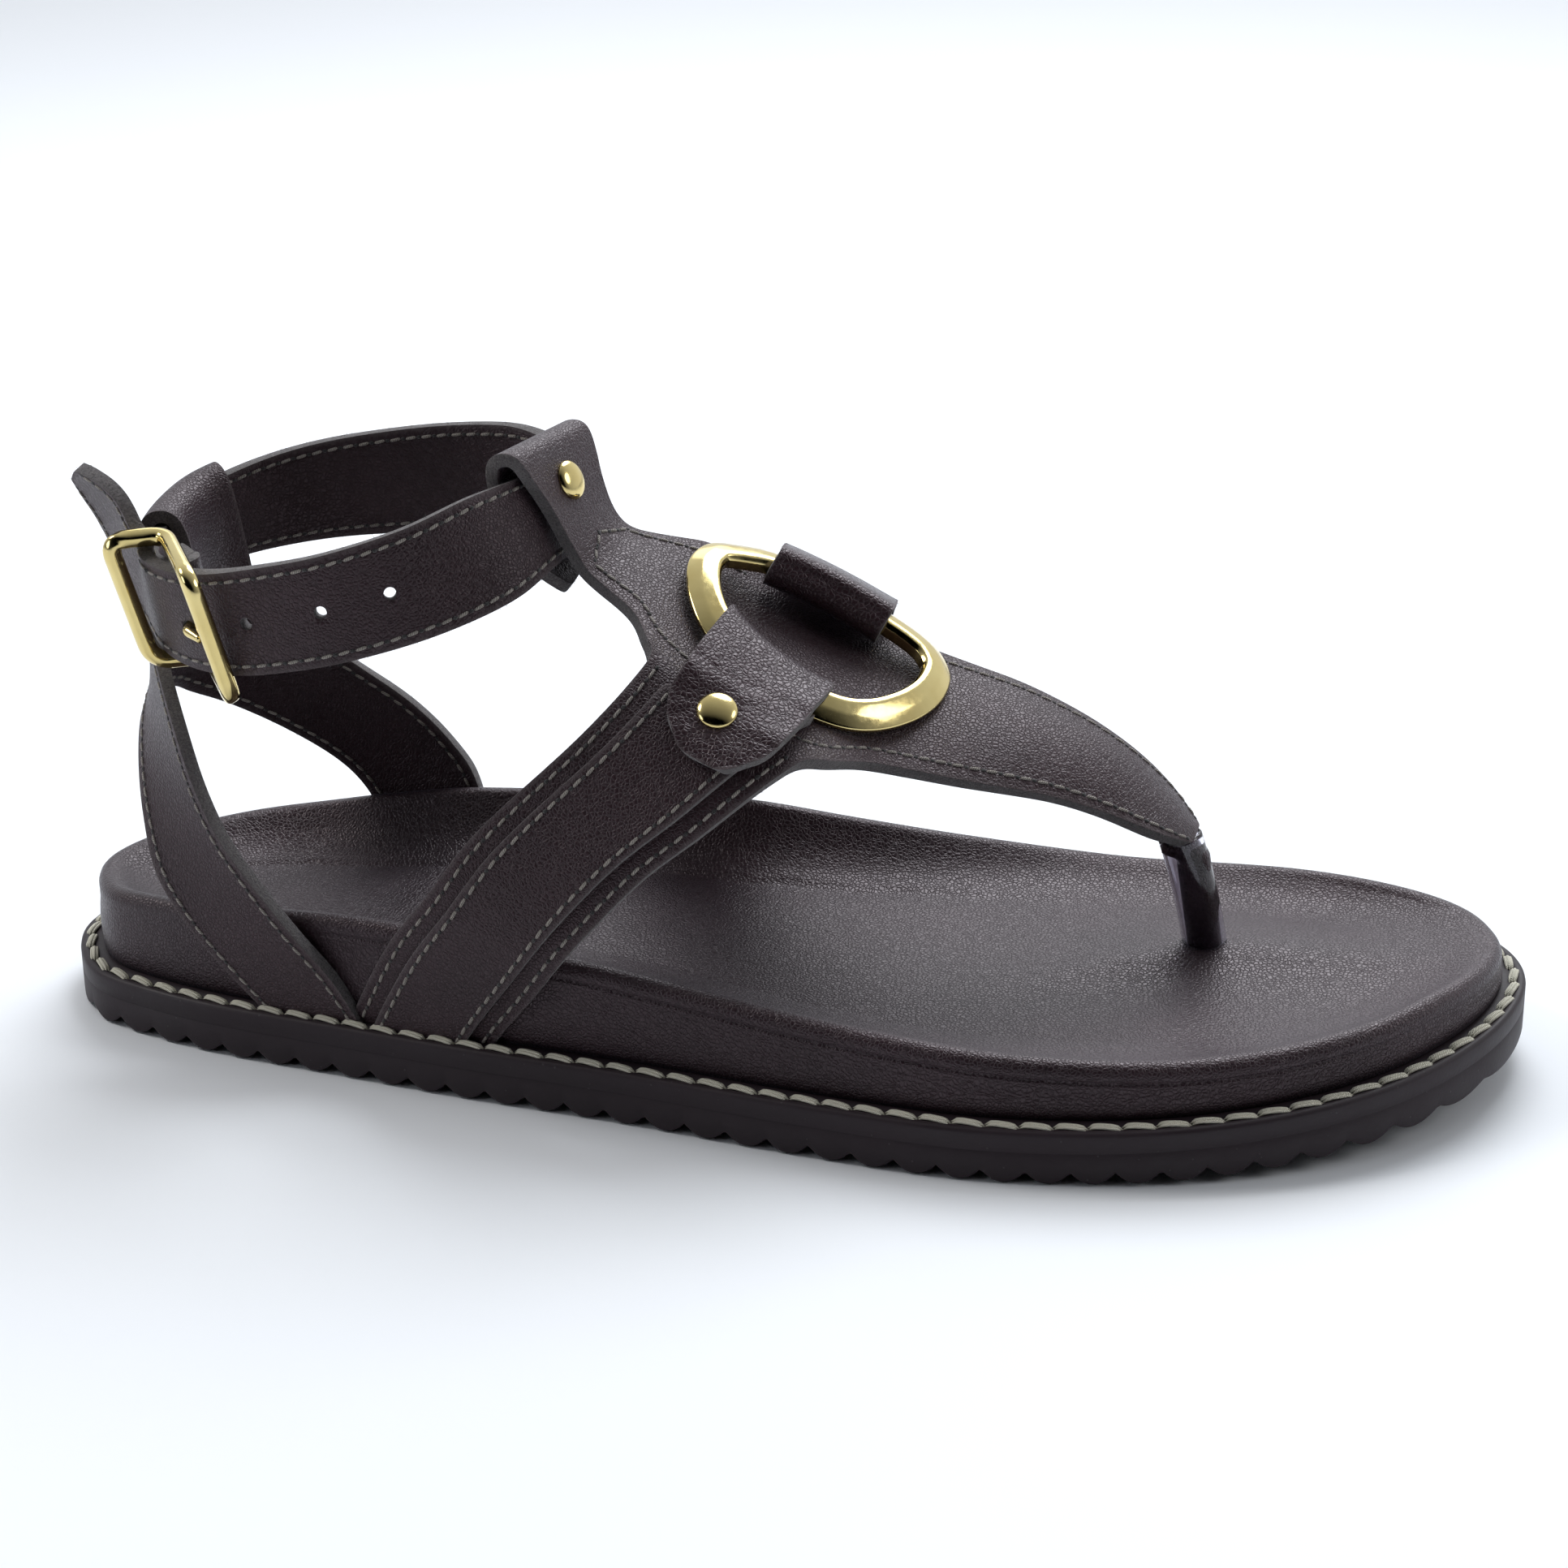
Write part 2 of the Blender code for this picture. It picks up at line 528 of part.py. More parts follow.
def build_heel_sling(finish, group):
    """A strap from welt to welt over the back of the heel, with a sleeve for the ankle strap."""
    sling = edge_grid(HEEL_SLING, 4, 4)
    shape = bmesh.new()
    verts = add_grid(shape, sling)
    grid_faces(shape, verts)
    middle, _, width, normal = strap_frame(ANKLE_ROUTE[:6], 4)
    places = np.linspace(*SLEEVE_ENDS, SLEEVE_COLUMNS)
    first = int(np.argmin(np.abs(sling[:, -1, 1] - places[0])))
    roots = [row[-1] for row in verts[first:first + SLEEVE_COLUMNS]]
    rows = []
    for rise, out in SLEEVE_SECTION:
        around = middle + width * rise + normal * out
        rows.append([[np.interp(place_y, middle[:, 1], column) for column in around.T]
                     for place_y in places])
    grid_faces(shape, [roots] + add_grid(shape, rows))
    obj = finish_mesh(shape, "heel_sling", finish, group)
    leather(obj, LEATHER)
    return obj


def strap_frame(route, steps):
    """Middle, direction, width direction and normal at each place of a route with its lean."""
    curve = smooth_curve(route, steps)
    middle = curve[:, :3]
    along = np.gradient(middle, axis=0)
    along /= np.linalg.norm(along, axis=1, keepdims=True)
    width = np.column_stack([curve[:, 3:5], np.ones(len(curve))])
    width -= along * np.sum(width * along, axis=1, keepdims=True)
    width /= np.linalg.norm(width, axis=1, keepdims=True)
    return middle, along, width, np.cross(along, width)


def unit(vector):
    vector = np.asarray(vector, float)
    return vector / np.linalg.norm(vector)


def fold_rows():
    """The strap's end folded round the centre bar, before the first row of its route."""
    bar, first = np.array(BUCKLE_CENTRE), np.array(ANKLE_ROUTE[0][:3])
    along = unit((first - bar) * (1, 1, 0))
    inner = np.array([along[1], -along[0], 0.0])
    radius = CENTRE_WIRE + GAP + LEATHER / 2
    lean_x, lean_y, _ = BUCKLE_LEAN
    points = [bar + along * FOLD_TAIL + inner * 2.4, bar + along * 3.2 + inner * radius]
    for degrees in range(0, 181, 36):
        turn = math.radians(degrees)
        points.append(bar + radius * (math.cos(turn) * inner - math.sin(turn) * along))
    points.append(bar + along * 4.0 - inner * radius)
    return [(*point, lean_x, lean_y, ANKLE_ROUTE[0][5]) for point in points]


def upright(middle, share):
    """A point of the buckle's upright, from its lower end at -1 to its upper end at 1."""
    return np.array(middle) + unit(BUCKLE_LEAN) * BUCKLE_HEIGHT / 2 * share


def prong_path():
    """The prong's eye round the centre bar, then its hole in the strap and its tip."""
    eye, lean = upright(BUCKLE_CENTRE, -0.15), unit(BUCKLE_LEAN)
    onward = np.array(PRONG_HOLE) - eye
    onward = unit(onward - lean * np.dot(onward, lean))
    aside = np.cross(lean, onward)
    radius = CENTRE_WIRE + GAP + PRONG_WIRE
    points = []
    for degrees in range(-270, 1, 30):
        turn = math.radians(degrees)
        points.append(eye + radius * (math.cos(turn) * aside + math.sin(turn) * onward))
    return points + [np.array(PRONG_HOLE), np.array(PRONG_TIP)]


def build_ankle_strap(finish, group, cutters):
    """A long strap folded round the buckle's centre bar, with its holes and tapered free end."""
    middle, _, width, normal = strap_frame([*fold_rows(), *ANKLE_ROUTE], 3)
    share = smooth_curve([row[5:] for row in [*fold_rows(), *ANKLE_ROUTE]], 3)
    columns = np.linspace(-1.0, 1.0, 3)[None, :, None]
    grid = middle[:, None] + width[:, None] * share[:, None] * ANKLE_WIDTH / 2 * columns
    obj = strap("ankle_strap", grid, LEATHER, finish, group)
    lateral = np.nonzero(middle[:, 1] < -18.0)[0]
    for number, station in enumerate(STRAP_HOLES):
        nearest = lateral[np.argmin(np.abs(middle[lateral, 0] - station))]
        hole = tube_along(f"strap_hole_{number}", middle[nearest], middle[nearest] + normal[nearest],
                          HOLE_RADIUS, -4.0, 4.0, finish, cutters, segments=10)
        boolean(obj, hole, "DIFFERENCE")
    eye_side, hole, _ = prong_path()[-3:]
    eyelet = tube_along("prong_passage", eye_side, hole, PRONG_WIRE + GAP, 3.0, 16.0, finish, cutters,
                        segments=12)
    boolean(obj, eyelet, "DIFFERENCE")
    slot = tube_along("prong_slot", upright(BUCKLE_CENTRE, -0.15), upright(BUCKLE_CENTRE, 1.0),
                      CENTRE_WIRE + 2 * PRONG_WIRE + 2.4, -PRONG_WIRE - GAP, PRONG_WIRE + GAP,
                      finish, cutters, segments=16)
    boolean(obj, slot, "DIFFERENCE")
    return obj


def rounded_loop(corners, radius):
    """A closed path in millimetres with its corners rounded, a curve of four points at each."""
    count = len(corners)
    points = []
    for index, corner in enumerate(corners):
        before = corner + unit(corners[index - 1] - corner) * radius
        after = corner + unit(corners[(index + 1) % count] - corner) * radius
        for t in (0.0, 0.33, 0.67, 1.0):
            points.append(before * (1 - t) ** 2 + 2 * corner * t * (1 - t) + after * t ** 2)
    return points


def build_buckle(finish, group, cutters):
    """A frame bent at its centre bar, and a prong whose eye turns on that bar."""
    corners = [upright(middle, share) for middle, share in (
        (BUCKLE_FRONT, -1.0), (BUCKLE_CENTRE, -1.0), (BUCKLE_REAR, -1.0),
        (BUCKLE_REAR, 1.0), (BUCKLE_CENTRE, 1.0), (BUCKLE_FRONT, 1.0))]
    path = rounded_loop(corners, BUCKLE_CORNER)
    frame = as_mesh(wire("buckle_frame", [place(point) for point in path], BUCKLE_WIRE * MM, finish,
                         group, closed=True), group)
    ends = [place(upright(BUCKLE_CENTRE, share)) for share in (-0.92, 0.92)]
    bar = as_mesh(wire("centre_bar", ends, CENTRE_WIRE * MM, finish, cutters), cutters)
    boolean(frame, bar, "UNION")
    wire("buckle_prong", [place(point) for point in prong_path()], PRONG_WIRE * MM, finish, group)


def ring_axes():
    """Directions along the ring, across it towards the inner side, and out of its face."""
    face = unit(RING_FACE)
    along = unit(np.array(RING_ALONG) - np.dot(RING_ALONG, face) * face)
    return along, np.cross(face, along), face


def build_ring(finish, group):
    """A rounded ring of flattened bar: a superellipse swept by an oval."""
    along, across, face = ring_axes()
    length, width = (RING_LENGTH - RING_BAR) / 2 * MM, (RING_WIDTH - RING_BAR) / 2 * MM
    points = []
    for degrees in range(0, 360, 9):
        turn = math.radians(degrees)
        x, y = math.cos(turn), math.sin(turn)
        reach = (abs(x) ** RING_ROUNDNESS + abs(y) ** RING_ROUNDNESS) ** (-1 / RING_ROUNDNESS)
        points.append((x * reach * length, y * reach * width, 0.0))
    ring = wire("ring", points, RING_BAR / 2 * MM, finish, group, closed=True, resolution=3)
    axes = Matrix((along, across, face)).transposed().to_4x4()
    ring.matrix_world = Matrix.Translation(place(RING_MIDDLE)) @ axes @ Matrix.Scale(
        RING_FLATTEN, 4, (0, 0, 1))
    return ring


def lay_on(surface, point, facing):
    """The nearest place of the vamp's sheet to a point, and its normal turned to the side faced."""
    found, normal, _, _ = surface.find_nearest(place(point))
    if normal.dot(Vector(facing)) < 0:
        normal = -normal
    return np.array(found) / MM + (HEEL_SEAT, 0.0, 0.0), normal


def lay_along(surface, start, heading, facing, distance, lift):
    """A place above the vamp's sheet this far from start, measured over the leather."""
    heading = Vector(heading)
    point, normal = lay_on(surface, start, facing)
    steps = max(1, round(distance / 1.5))
    for _ in range(steps):
        heading = (heading - normal * heading.dot(normal)).normalized()
        point, normal = lay_on(surface, point + np.array(heading) * distance / steps, facing)
    return point + np.array(normal) * lift, normal


def build_ring_tab(side, sign, surface, finish, group):
    """A tab folded round the ring's bar, its rounded end lying on the vamp."""
    along, across, face = ring_axes()
    outward = across * sign
    facing, heading = face + outward, unit(outward + along * TAB_SKEW)
    half_length, half_width = (RING_LENGTH - RING_BAR) / 2, (RING_WIDTH - RING_BAR) / 2
    reach, rise = (part / 2 + GAP + TAB_LEATHER / 2 for part in (RING_BAR, RING_BAR * RING_FLATTEN))
    columns = np.linspace(-1.0, 1.0, 7)

    def bar_place(offset):
        share = 1.0 - abs(offset / half_length) ** RING_ROUNDNESS
        return (np.array(RING_MIDDLE) + along * offset
                + outward * half_width * share ** (1 / RING_ROUNDNESS))

    middle = bar_place(TAB_OFFSET[side])
    hang = np.linalg.norm(lay_on(surface, middle, facing)[0] - middle) + rise

    def laid(distance, hanging, lift, share):
        height = hanging * hang + (1 - hanging) * lift
        centre, normal = lay_along(surface, middle, heading, facing, distance, height)
        sideways = unit(along - normal * np.dot(along, normal))
        found = []
        for column in columns:
            point = centre + sideways * TAB_HALF_WIDTH * share * column
            above = np.dot(point - lay_on(surface, point, facing)[0], normal)
            found.append(point + normal * np.clip(height - above, -1.5, 1.5))
        return found

    bars = [bar_place(TAB_OFFSET[side] + TAB_HALF_WIDTH * column) for column in columns]
    rows = [laid(distance, 0.0, lift, share) for distance, lift, share in TAB_UNDER[side]]
    for degrees in range(-90, 127, 36):
        turn = math.radians(degrees)
        offset = face * (rise + GAP) * math.sin(turn) - outward * (reach + 2 * GAP) * math.cos(turn)
        rows.append([bar + offset for bar in bars])
    for distance, hanging, share in TAB_UPPER:
        rows.append(laid(distance, hanging, TAB_LIFT, share))
    strap("ring_tab_" + side, np.array(rows), TAB_LEATHER, finish, group)
    head = TAB_LIFT + TAB_LEATHER / 2 + 2.6 * GAP
    return lay_along(surface, middle, heading, facing, RIVET_DISTANCE, head)


def build_rivet(name, foot, normal, finish, group):
    """A low domed head, turned about its axis and set on the leather."""
    profile = [(0.0, RIVET_HEIGHT)]
    for degrees in (30, 55, 75):
        turn = math.radians(degrees)
        profile.append((RIVET_RADIUS * math.sin(turn), RIVET_HEIGHT * (0.3 + 0.7 * math.cos(turn))))
    profile += [(RIVET_RADIUS, 0.25 * RIVET_HEIGHT), (RIVET_RADIUS - 0.3, 0.0), (0.0, 0.0)]
    data = bpy.data.meshes.new(name)
    data.from_pydata([(x * MM, 0.0, z * MM) for x, z in profile],
                     [(i, i + 1) for i in range(len(profile) - 1)], [])
    rivet = add_object(name, data, finish, group)
    turned = rivet.modifiers.new("turned", "SCREW")
    turned.steps = 20
    turned.render_steps = 20
    turned.use_merge_vertices = True
    turned.merge_threshold = 0.00001
    rivet.location = place(foot)
    rivet.rotation_mode = "QUATERNION"
    rivet.rotation_quaternion = Vector((0, 0, 1)).rotation_difference(normal)
    return rivet


def main():
    clear_scene()
    parts = collection("toe_loop_sandal")
    cutters = collection("cutters")
    rubber = material("rubber", (0.018, 0.013, 0.015), 0.75)
    footbed_leather = material("footbed_leather", (0.035, 0.026, 0.029), 0.42)
    strap_leather = material("strap_leather", (0.040, 0.028, 0.031), 0.5)
    clear_plastic = material("clear_plastic", (0.72, 0.70, 0.80), 0.1, 0.0, 0.35)
    gold = material("gold_metal", (0.78, 0.66, 0.34), 0.18, 1.0)
    outline = sole_outline()
    build_outsole(outline, rubber, parts, cutters)
    build_footbed(outline, footbed_leather, parts, cutters)
    build_toe_post(strap_leather, clear_plastic, parts, cutters)
    surface = build_vamp(strap_leather, parts, cutters)
    build_heel_sling(strap_leather, parts)
    build_ankle_strap(strap_leather, parts, cutters)
    build_buckle(gold, parts, cutters)
    build_ring(gold, parts)
    for side, sign in (("lateral", -1.0), ("medial", 1.0)):
        foot, normal = build_ring_tab(side, sign, surface, strap_leather, parts)
        build_rivet("rivet_" + side, foot, normal, gold, parts)
    foot, normal = lay_on(surface, INSTEP_RIVET, RING_FACE)
    foot = foot + np.array(normal) * (LEATHER / 2 + GAP)
    build_rivet("rivet_instep", foot, normal, gold, parts)


main()
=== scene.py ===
# Looks for the toe loop sandal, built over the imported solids.
# Tables are in millimetres in the last's frame: x from the back of the heel, y to the inner side, z up.
import math

import bmesh
import bpy
import numpy as np
from mathutils import Matrix, Vector
from mathutils.bvhtree import BVHTree


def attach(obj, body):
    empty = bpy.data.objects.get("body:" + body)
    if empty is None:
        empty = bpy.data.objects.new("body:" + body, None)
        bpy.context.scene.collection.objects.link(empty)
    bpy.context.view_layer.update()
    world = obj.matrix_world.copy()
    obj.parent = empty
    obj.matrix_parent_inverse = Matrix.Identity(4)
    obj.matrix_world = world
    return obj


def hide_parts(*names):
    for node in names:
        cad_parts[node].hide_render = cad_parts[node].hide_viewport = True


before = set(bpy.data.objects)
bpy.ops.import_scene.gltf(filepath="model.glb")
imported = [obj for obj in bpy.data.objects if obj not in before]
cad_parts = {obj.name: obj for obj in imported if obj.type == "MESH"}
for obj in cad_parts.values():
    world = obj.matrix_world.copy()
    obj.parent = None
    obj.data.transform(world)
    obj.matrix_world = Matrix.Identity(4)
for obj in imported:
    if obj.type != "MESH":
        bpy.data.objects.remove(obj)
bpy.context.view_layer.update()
print("frame loaded:", len(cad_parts), "nodes")

heelSeat = 34.0  # the last's x of the frame's origin
millimetre = 0.001


# Millimetres of the last to metres of the frame: x less the heel seat, all divided by 1000.
def toMetres(points):
    return (np.asarray(points, float) - (heelSeat, 0.0, 0.0)) * millimetre


# Back again: metres times 1000, plus the heel seat along x.
def toLast(points):
    return np.asarray(points, float) * 1000.0 + (heelSeat, 0.0, 0.0)


def unit(vector):
    vector = np.asarray(vector, float)
    return vector / np.maximum(np.linalg.norm(vector, axis=-1, keepdims=True), 1e-12)


# Catmull-Rom spline: a cubic between each two rows, its slopes half the step over the neighbours.
def smoothCurve(points, steps, closed=False):
    points = np.asarray(points, float)
    if closed:
        before, here = np.roll(points, 1, 0), points
        after, last = np.roll(points, -1, 0), np.roll(points, -2, 0)
    else:
        ends = np.vstack([2 * points[0] - points[1], points, 2 * points[-1] - points[-2]])
        before, here, after, last = ends[:-3], ends[1:-2], ends[2:-1], ends[3:]
    t = (np.arange(steps) / steps)[None, :, None]
    before, here, after, last = (part[:, None, :] for part in (before, here, after, last))
    curve = 0.5 * (2 * here + (after - before) * t
                   + (2 * before - 5 * here + 4 * after - last) * t ** 2
                   + (3 * here - before - 3 * after + last) * t ** 3)
    curve = curve.reshape(-1, points.shape[1])
    return curve if closed else np.vstack([curve, points[-1]])


# Arc length along a curve, zero at its first point.
def travel(curve):
    return np.concatenate([[0.0], np.cumsum(np.linalg.norm(np.diff(curve, axis=0), axis=1))])


# Points at equal arc length.
def evenPoints(curve, count):
    lengths = travel(curve)
    wanted = np.linspace(0.0, lengths[-1], count)
    return np.stack([np.interp(wanted, lengths, column) for column in curve.T], axis=1)


# Unit normals of a grid: the cross product of its two gradients.
def gridNormals(points):
    return unit(np.cross(np.gradient(points, axis=1), np.gradient(points, axis=0)))


# Quads between the rows and columns of an index grid.
def quads(index, wrapRows=False, wrapColumns=False):
    if wrapRows:
        index = np.vstack([index, index[:1]])
    if wrapColumns:
        index = np.hstack([index, index[:, :1]])
    return np.stack([index[:-1, :-1], index[:-1, 1:], index[1:, 1:], index[1:, :-1]], -1).reshape(-1, 4)


# A circle of radius one: first*cos(turn) + second*sin(turn).
def circle(first, second, turn):
    return first * np.cos(turn) + second * np.sin(turn)


# A round-topped hill: height*exp(-((x - a)/b)^2 - ((y - c)/d)^2).
def hill(x, y, height, a, b, c, d):
    return height * np.exp(-((x - a) / b) ** 2 - ((y - c) / d) ** 2)


# The points of a grid, numbered row by row.
def numbered(grid):
    return np.arange(grid[..., 0].size).reshape(grid.shape[:2])


# A mesh's points in millimetres of the last.
def readPoints(data):
    points = np.empty(len(data.vertices) * 3)
    data.vertices.foreach_get("co", points)
    return toLast(points.reshape(-1, 3))


# A mesh object from points in millimetres and rows of corner numbers.
def makeMesh(name, points, faces, finishes, weld=0.0, sharp=None, values=None, uv=None):
    data = bpy.data.meshes.new(name)
    data.from_pydata(toMetres(points).tolist(), [], [list(map(int, face)) for face in faces])
    for key, value in (values or {}).items():
        data.attributes.new(key, "FLOAT", "POINT").data.foreach_set("value", np.asarray(value, np.float32))
    if uv is not None:
        corners = np.empty(len(data.loops), np.int32)
        data.loops.foreach_get("vertex_index", corners)
        layer = data.uv_layers.new(name="UVMap")
        layer.data.foreach_set("uv", np.asarray(uv, np.float32)[corners].ravel())
    if weld:
        shape = bmesh.new()
        shape.from_mesh(data)
        bmesh.ops.remove_doubles(shape, verts=shape.verts, dist=weld * millimetre)
        bmesh.ops.dissolve_degenerate(shape, edges=shape.edges, dist=1e-7)
        bmesh.ops.recalc_face_normals(shape, faces=shape.faces)
        shape.to_mesh(data)
        shape.free()
    data.shade_smooth()
    if sharp is not None:
        data.set_sharp_from_angle(angle=math.radians(sharp))
    obj = bpy.data.objects.new(name, data)
    bpy.context.scene.collection.objects.link(obj)
    for finish in finishes:
        data.materials.append(finish)
    return obj


def addModifier(obj, kind, **settings):
    added = obj.modifiers.new(kind.lower(), kind)
    for key, value in settings.items():
        setattr(added, key, value)


# The evaluated mesh takes the place of the modifiers.
def applyModifiers(obj):
    bpy.context.view_layer.update()
    graph = bpy.context.evaluated_depsgraph_get()
    done = bpy.data.meshes.new_from_object(obj.evaluated_get(graph))
    obj.modifiers.clear()
    old = obj.data
    obj.data = done
    bpy.data.meshes.remove(old)
    return obj


# Distance in millimetres from every point to the open border of a sheet, by samples along its border edges.
def borderDistance(points, faces):
    edges = np.sort(np.concatenate([faces[:, [0, 1]], faces[:, [1, 2]], faces[:, [2, 3]], faces[:, [3, 0]]]), 1)
    edges = edges[edges[:, 0] != edges[:, 1]]
    edges, count = np.unique(edges, axis=0, return_counts=True)
    border = edges[count == 1]
    share = np.linspace(0, 1, 5)[None, :, None]
    samples = (points[border[:, :1]] * (1 - share) + points[border[:, 1:]] * share).reshape(-1, 3)
    return np.min(np.linalg.norm(points[:, None] - samples[None], axis=2), axis=1)


# A sheet of leather: subdivided, thickened half to each side, and its cut edge rounded.
def leatherSheet(name, points, faces, finishes, thickness, levels=2, rounding=0.3):
    faces = np.asarray(faces)
    obj = makeMesh(name, points, faces, finishes, values={"edge": borderDistance(points, faces)})
    addModifier(obj, "SUBSURF", levels=levels, render_levels=levels)
    addModifier(obj, "SOLIDIFY", thickness=thickness * millimetre, offset=0.0, use_even_offset=True,
                material_offset_rim=1)
    addModifier(obj, "BEVEL", width=rounding * millimetre, segments=2, limit_method="ANGLE",
                angle_limit=math.radians(50), use_clamp_overlap=True)
    return applyModifiers(obj)


# Each input of a node: a socket is linked to it, and anything else becomes its value.
def fill(tree, node, inputs):
    for key, value in dict(inputs).items():
        if isinstance(value, bpy.types.NodeSocket):
            tree.links.new(value, node.inputs[key])
        else:
            node.inputs[key].default_value = value


def addNode(tree, kind, inputs=(), **settings):
    node = tree.nodes.new(kind)
    for key, value in settings.items():
        setattr(node, key, value)
    fill(tree, node, inputs)
    return node


def objectPlace(tree):
    return addNode(tree, "ShaderNodeTexCoord").outputs["Object"]


def noise(tree, place, scale, detail, roughness=0.5, output="Fac"):
    given = {"Vector": place, "Scale": scale, "Detail": detail, "Roughness": roughness}
    return addNode(tree, "ShaderNodeTexNoise", given).outputs[output]


def ramp(tree, source, *stops):
    node = addNode(tree, "ShaderNodeValToRGB", {0: source})
    while len(node.color_ramp.elements) < len(stops):
        node.color_ramp.elements.new(0.5)
    for element, (place, value) in zip(node.color_ramp.elements, stops):
        element.position = place
        element.color = (*value, 1.0) if hasattr(value, "__len__") else (value, value, value, 1.0)
    return node.outputs[0]


def mixColour(tree, share, first, second):
    node = addNode(tree, "ShaderNodeMix", {0: share}, data_type="RGBA")
    for key, value in ((6, first), (7, second)):
        fill(tree, node, {key: (*value, 1.0) if isinstance(value, tuple) else value})
    return node.outputs[2]


def maths(tree, operation, first, second=0.0, third=0.0, clamp=False):
    node = addNode(tree, "ShaderNodeMath", {0: first, 1: second, 2: third}, operation=operation)
    node.use_clamp = clamp
    return node.outputs[0]


def newGroup(name, inputs, outputs):
    tree = bpy.data.node_groups.new(name, "ShaderNodeTree")
    for label, value in inputs:
        socket = tree.interface.new_socket(name=label, in_out="INPUT", socket_type="NodeSocketFloat")
        socket.default_value = value
    for label in outputs:
        tree.interface.new_socket(name=label, in_out="OUTPUT", socket_type="NodeSocketFloat")
    return tree, tree.nodes.new("NodeGroupInput"), tree.nodes.new("NodeGroupOutput")


# Leather grain: cells under a millimetre across, bent by noise. Height is their valleys plus fine and slow noise.
def grainGroup():
    tree, given, out = newGroup("leatherGrain", (("Scale", 1300.0), ("Crease", 0.5)), ("Height", "Tone", "GrainValleys"))
    place = objectPlace(tree)
    bend = noise(tree, place, 420.0, 2.0, output="Color")
    shift = addNode(tree, "ShaderNodeVectorMath", {0: bend, "Scale": 0.0011}, operation="SCALE")
    moved = addNode(tree, "ShaderNodeVectorMath", {0: place, 1: shift.outputs[0]}, operation="ADD").outputs[0]
    cells = addNode(tree, "ShaderNodeTexVoronoi", {"Vector": moved, "Scale": given.outputs["Scale"],
                                                   "Randomness": 1.0}, feature="DISTANCE_TO_EDGE")
    valleys = ramp(tree, cells.outputs["Distance"], (0.0, 0.0), (0.16, 0.75), (0.4, 1.0))
    height = maths(tree, "MULTIPLY_ADD", noise(tree, place, 2600.0, 3.0, 0.6), 0.35, valleys)
    folds = noise(tree, moved, 260.0, 4.0, 0.62)
    height = maths(tree, "MULTIPLY_ADD", folds, given.outputs["Crease"], height)
    fill(tree, out, {"Height": height, "Tone": noise(tree, place, 38.0, 4.0, 0.55), "GrainValleys": valleys})
    return tree


# Fibres of a cut edge or of loose thread: two noises of different scale.
def fibreGroup():
    tree, given, out = newGroup("fibres", (("Scale", 2200.0),), ("Height", "Tone"))
    place = objectPlace(tree)
    coarse = noise(tree, place, given.outputs["Scale"], 4.0, 0.7)
    both = maths(tree, "MULTIPLY_ADD", noise(tree, place, 500.0, 3.0), 0.6, coarse)
    fill(tree, out, {"Height": both, "Tone": coarse})
    return tree


# Wear along a cut edge: one at the border, nothing a few millimetres in, its limit moved by noise.
def wearGroup():
    tree, given, out = newGroup("edgeWear", (("Width", 2.0),), ("Mask",))
    distance = addNode(tree, "ShaderNodeAttribute", attribute_name="edge").outputs["Fac"]
    moved = maths(tree, "MULTIPLY_ADD", noise(tree, objectPlace(tree), 900.0, 3.0), 1.4, distance)
    share = maths(tree, "DIVIDE", moved, given.outputs["Width"])
    fill(tree, out, {"Mask": maths(tree, "SUBTRACT", 1.35, share, clamp=True)})
    return tree


grain, fibres, wear = grainGroup(), fibreGroup(), wearGroup()


def newMaterial(name):
    made = bpy.data.materials.new(name)
    made.use_nodes = True
    return made, made.node_tree, made.node_tree.nodes["Principled BSDF"]


def group(tree, source, **inputs):
    node = addNode(tree, "ShaderNodeGroup", node_tree=source)
    fill(tree, node, inputs)
    return node


def bump(tree, height, strength, distance):
    given = {"Height": height, "Strength": strength, "Distance": distance}
    return addNode(tree, "ShaderNodeBump", given).outputs[0]


# Finished leather: dark brown, cool sheen, grain with painted shade darkening its valleys, and a rougher paler band
# along its cut edges.
def leatherFinish(name):
    dark, light, rough, grainScale, bumpStrength, crease, wearWidth = finishes[name]
    made, tree, shader = newMaterial(name)
    skin = group(tree, grain, Scale=grainScale, Crease=crease)
    base = mixColour(tree, ramp(tree, skin.outputs["Tone"], (0.3, 0.0), (0.7, 1.0)), dark, light)
    # Painted shade: the valleys of the grain are darkened towards a third of the dark brown.
    base = mixColour(tree, ramp(tree, skin.outputs["GrainValleys"], (0.0, 0.55), (0.6, 0.0)), base,
                     tuple(0.35 * part for part in dark))
    roughness = ramp(tree, skin.outputs["GrainValleys"], (0.0, rough + 0.16), (1.0, rough))
    height = skin.outputs["Height"]
    if wearWidth:
        edge = group(tree, wear, Width=wearWidth).outputs["Mask"]
        nap = group(tree, fibres, Scale=1900.0)
        base = mixColour(tree, maths(tree, "MULTIPLY", edge, 0.5), base, finishes["rawLight"])
        roughness = mixColour(tree, edge, roughness, (0.8, 0.8, 0.8))
        height = maths(tree, "ADD", height, maths(tree, "MULTIPLY", edge, nap.outputs["Height"]))
    fill(tree, shader, {
        "Base Color": base, "Roughness": roughness, "Normal": bump(tree, height, bumpStrength, 0.00018),
        "Specular IOR Level": 0.45, "Specular Tint": (1.0, 0.86, 0.90, 1.0),
        "Sheen Weight": 0.05, "Sheen Roughness": 0.4, "Sheen Tint": (0.62, 0.70, 0.95, 1.0)})
    return made


# Raw fibres, dark to light by their own noise.
def suedeFinish(name, dark, light):
    made, tree, shader = newMaterial(name)
    nap = group(tree, fibres, Scale=2600.0)
    fill(tree, shader, {
        "Base Color": ramp(tree, nap.outputs["Tone"], (0.32, dark), (0.68, light)),
        "Normal": bump(tree, nap.outputs["Height"], 1.0, 0.0005),
        "Roughness": 0.95, "Sheen Weight": 0.3, "Sheen Roughness": 0.6})
    return made


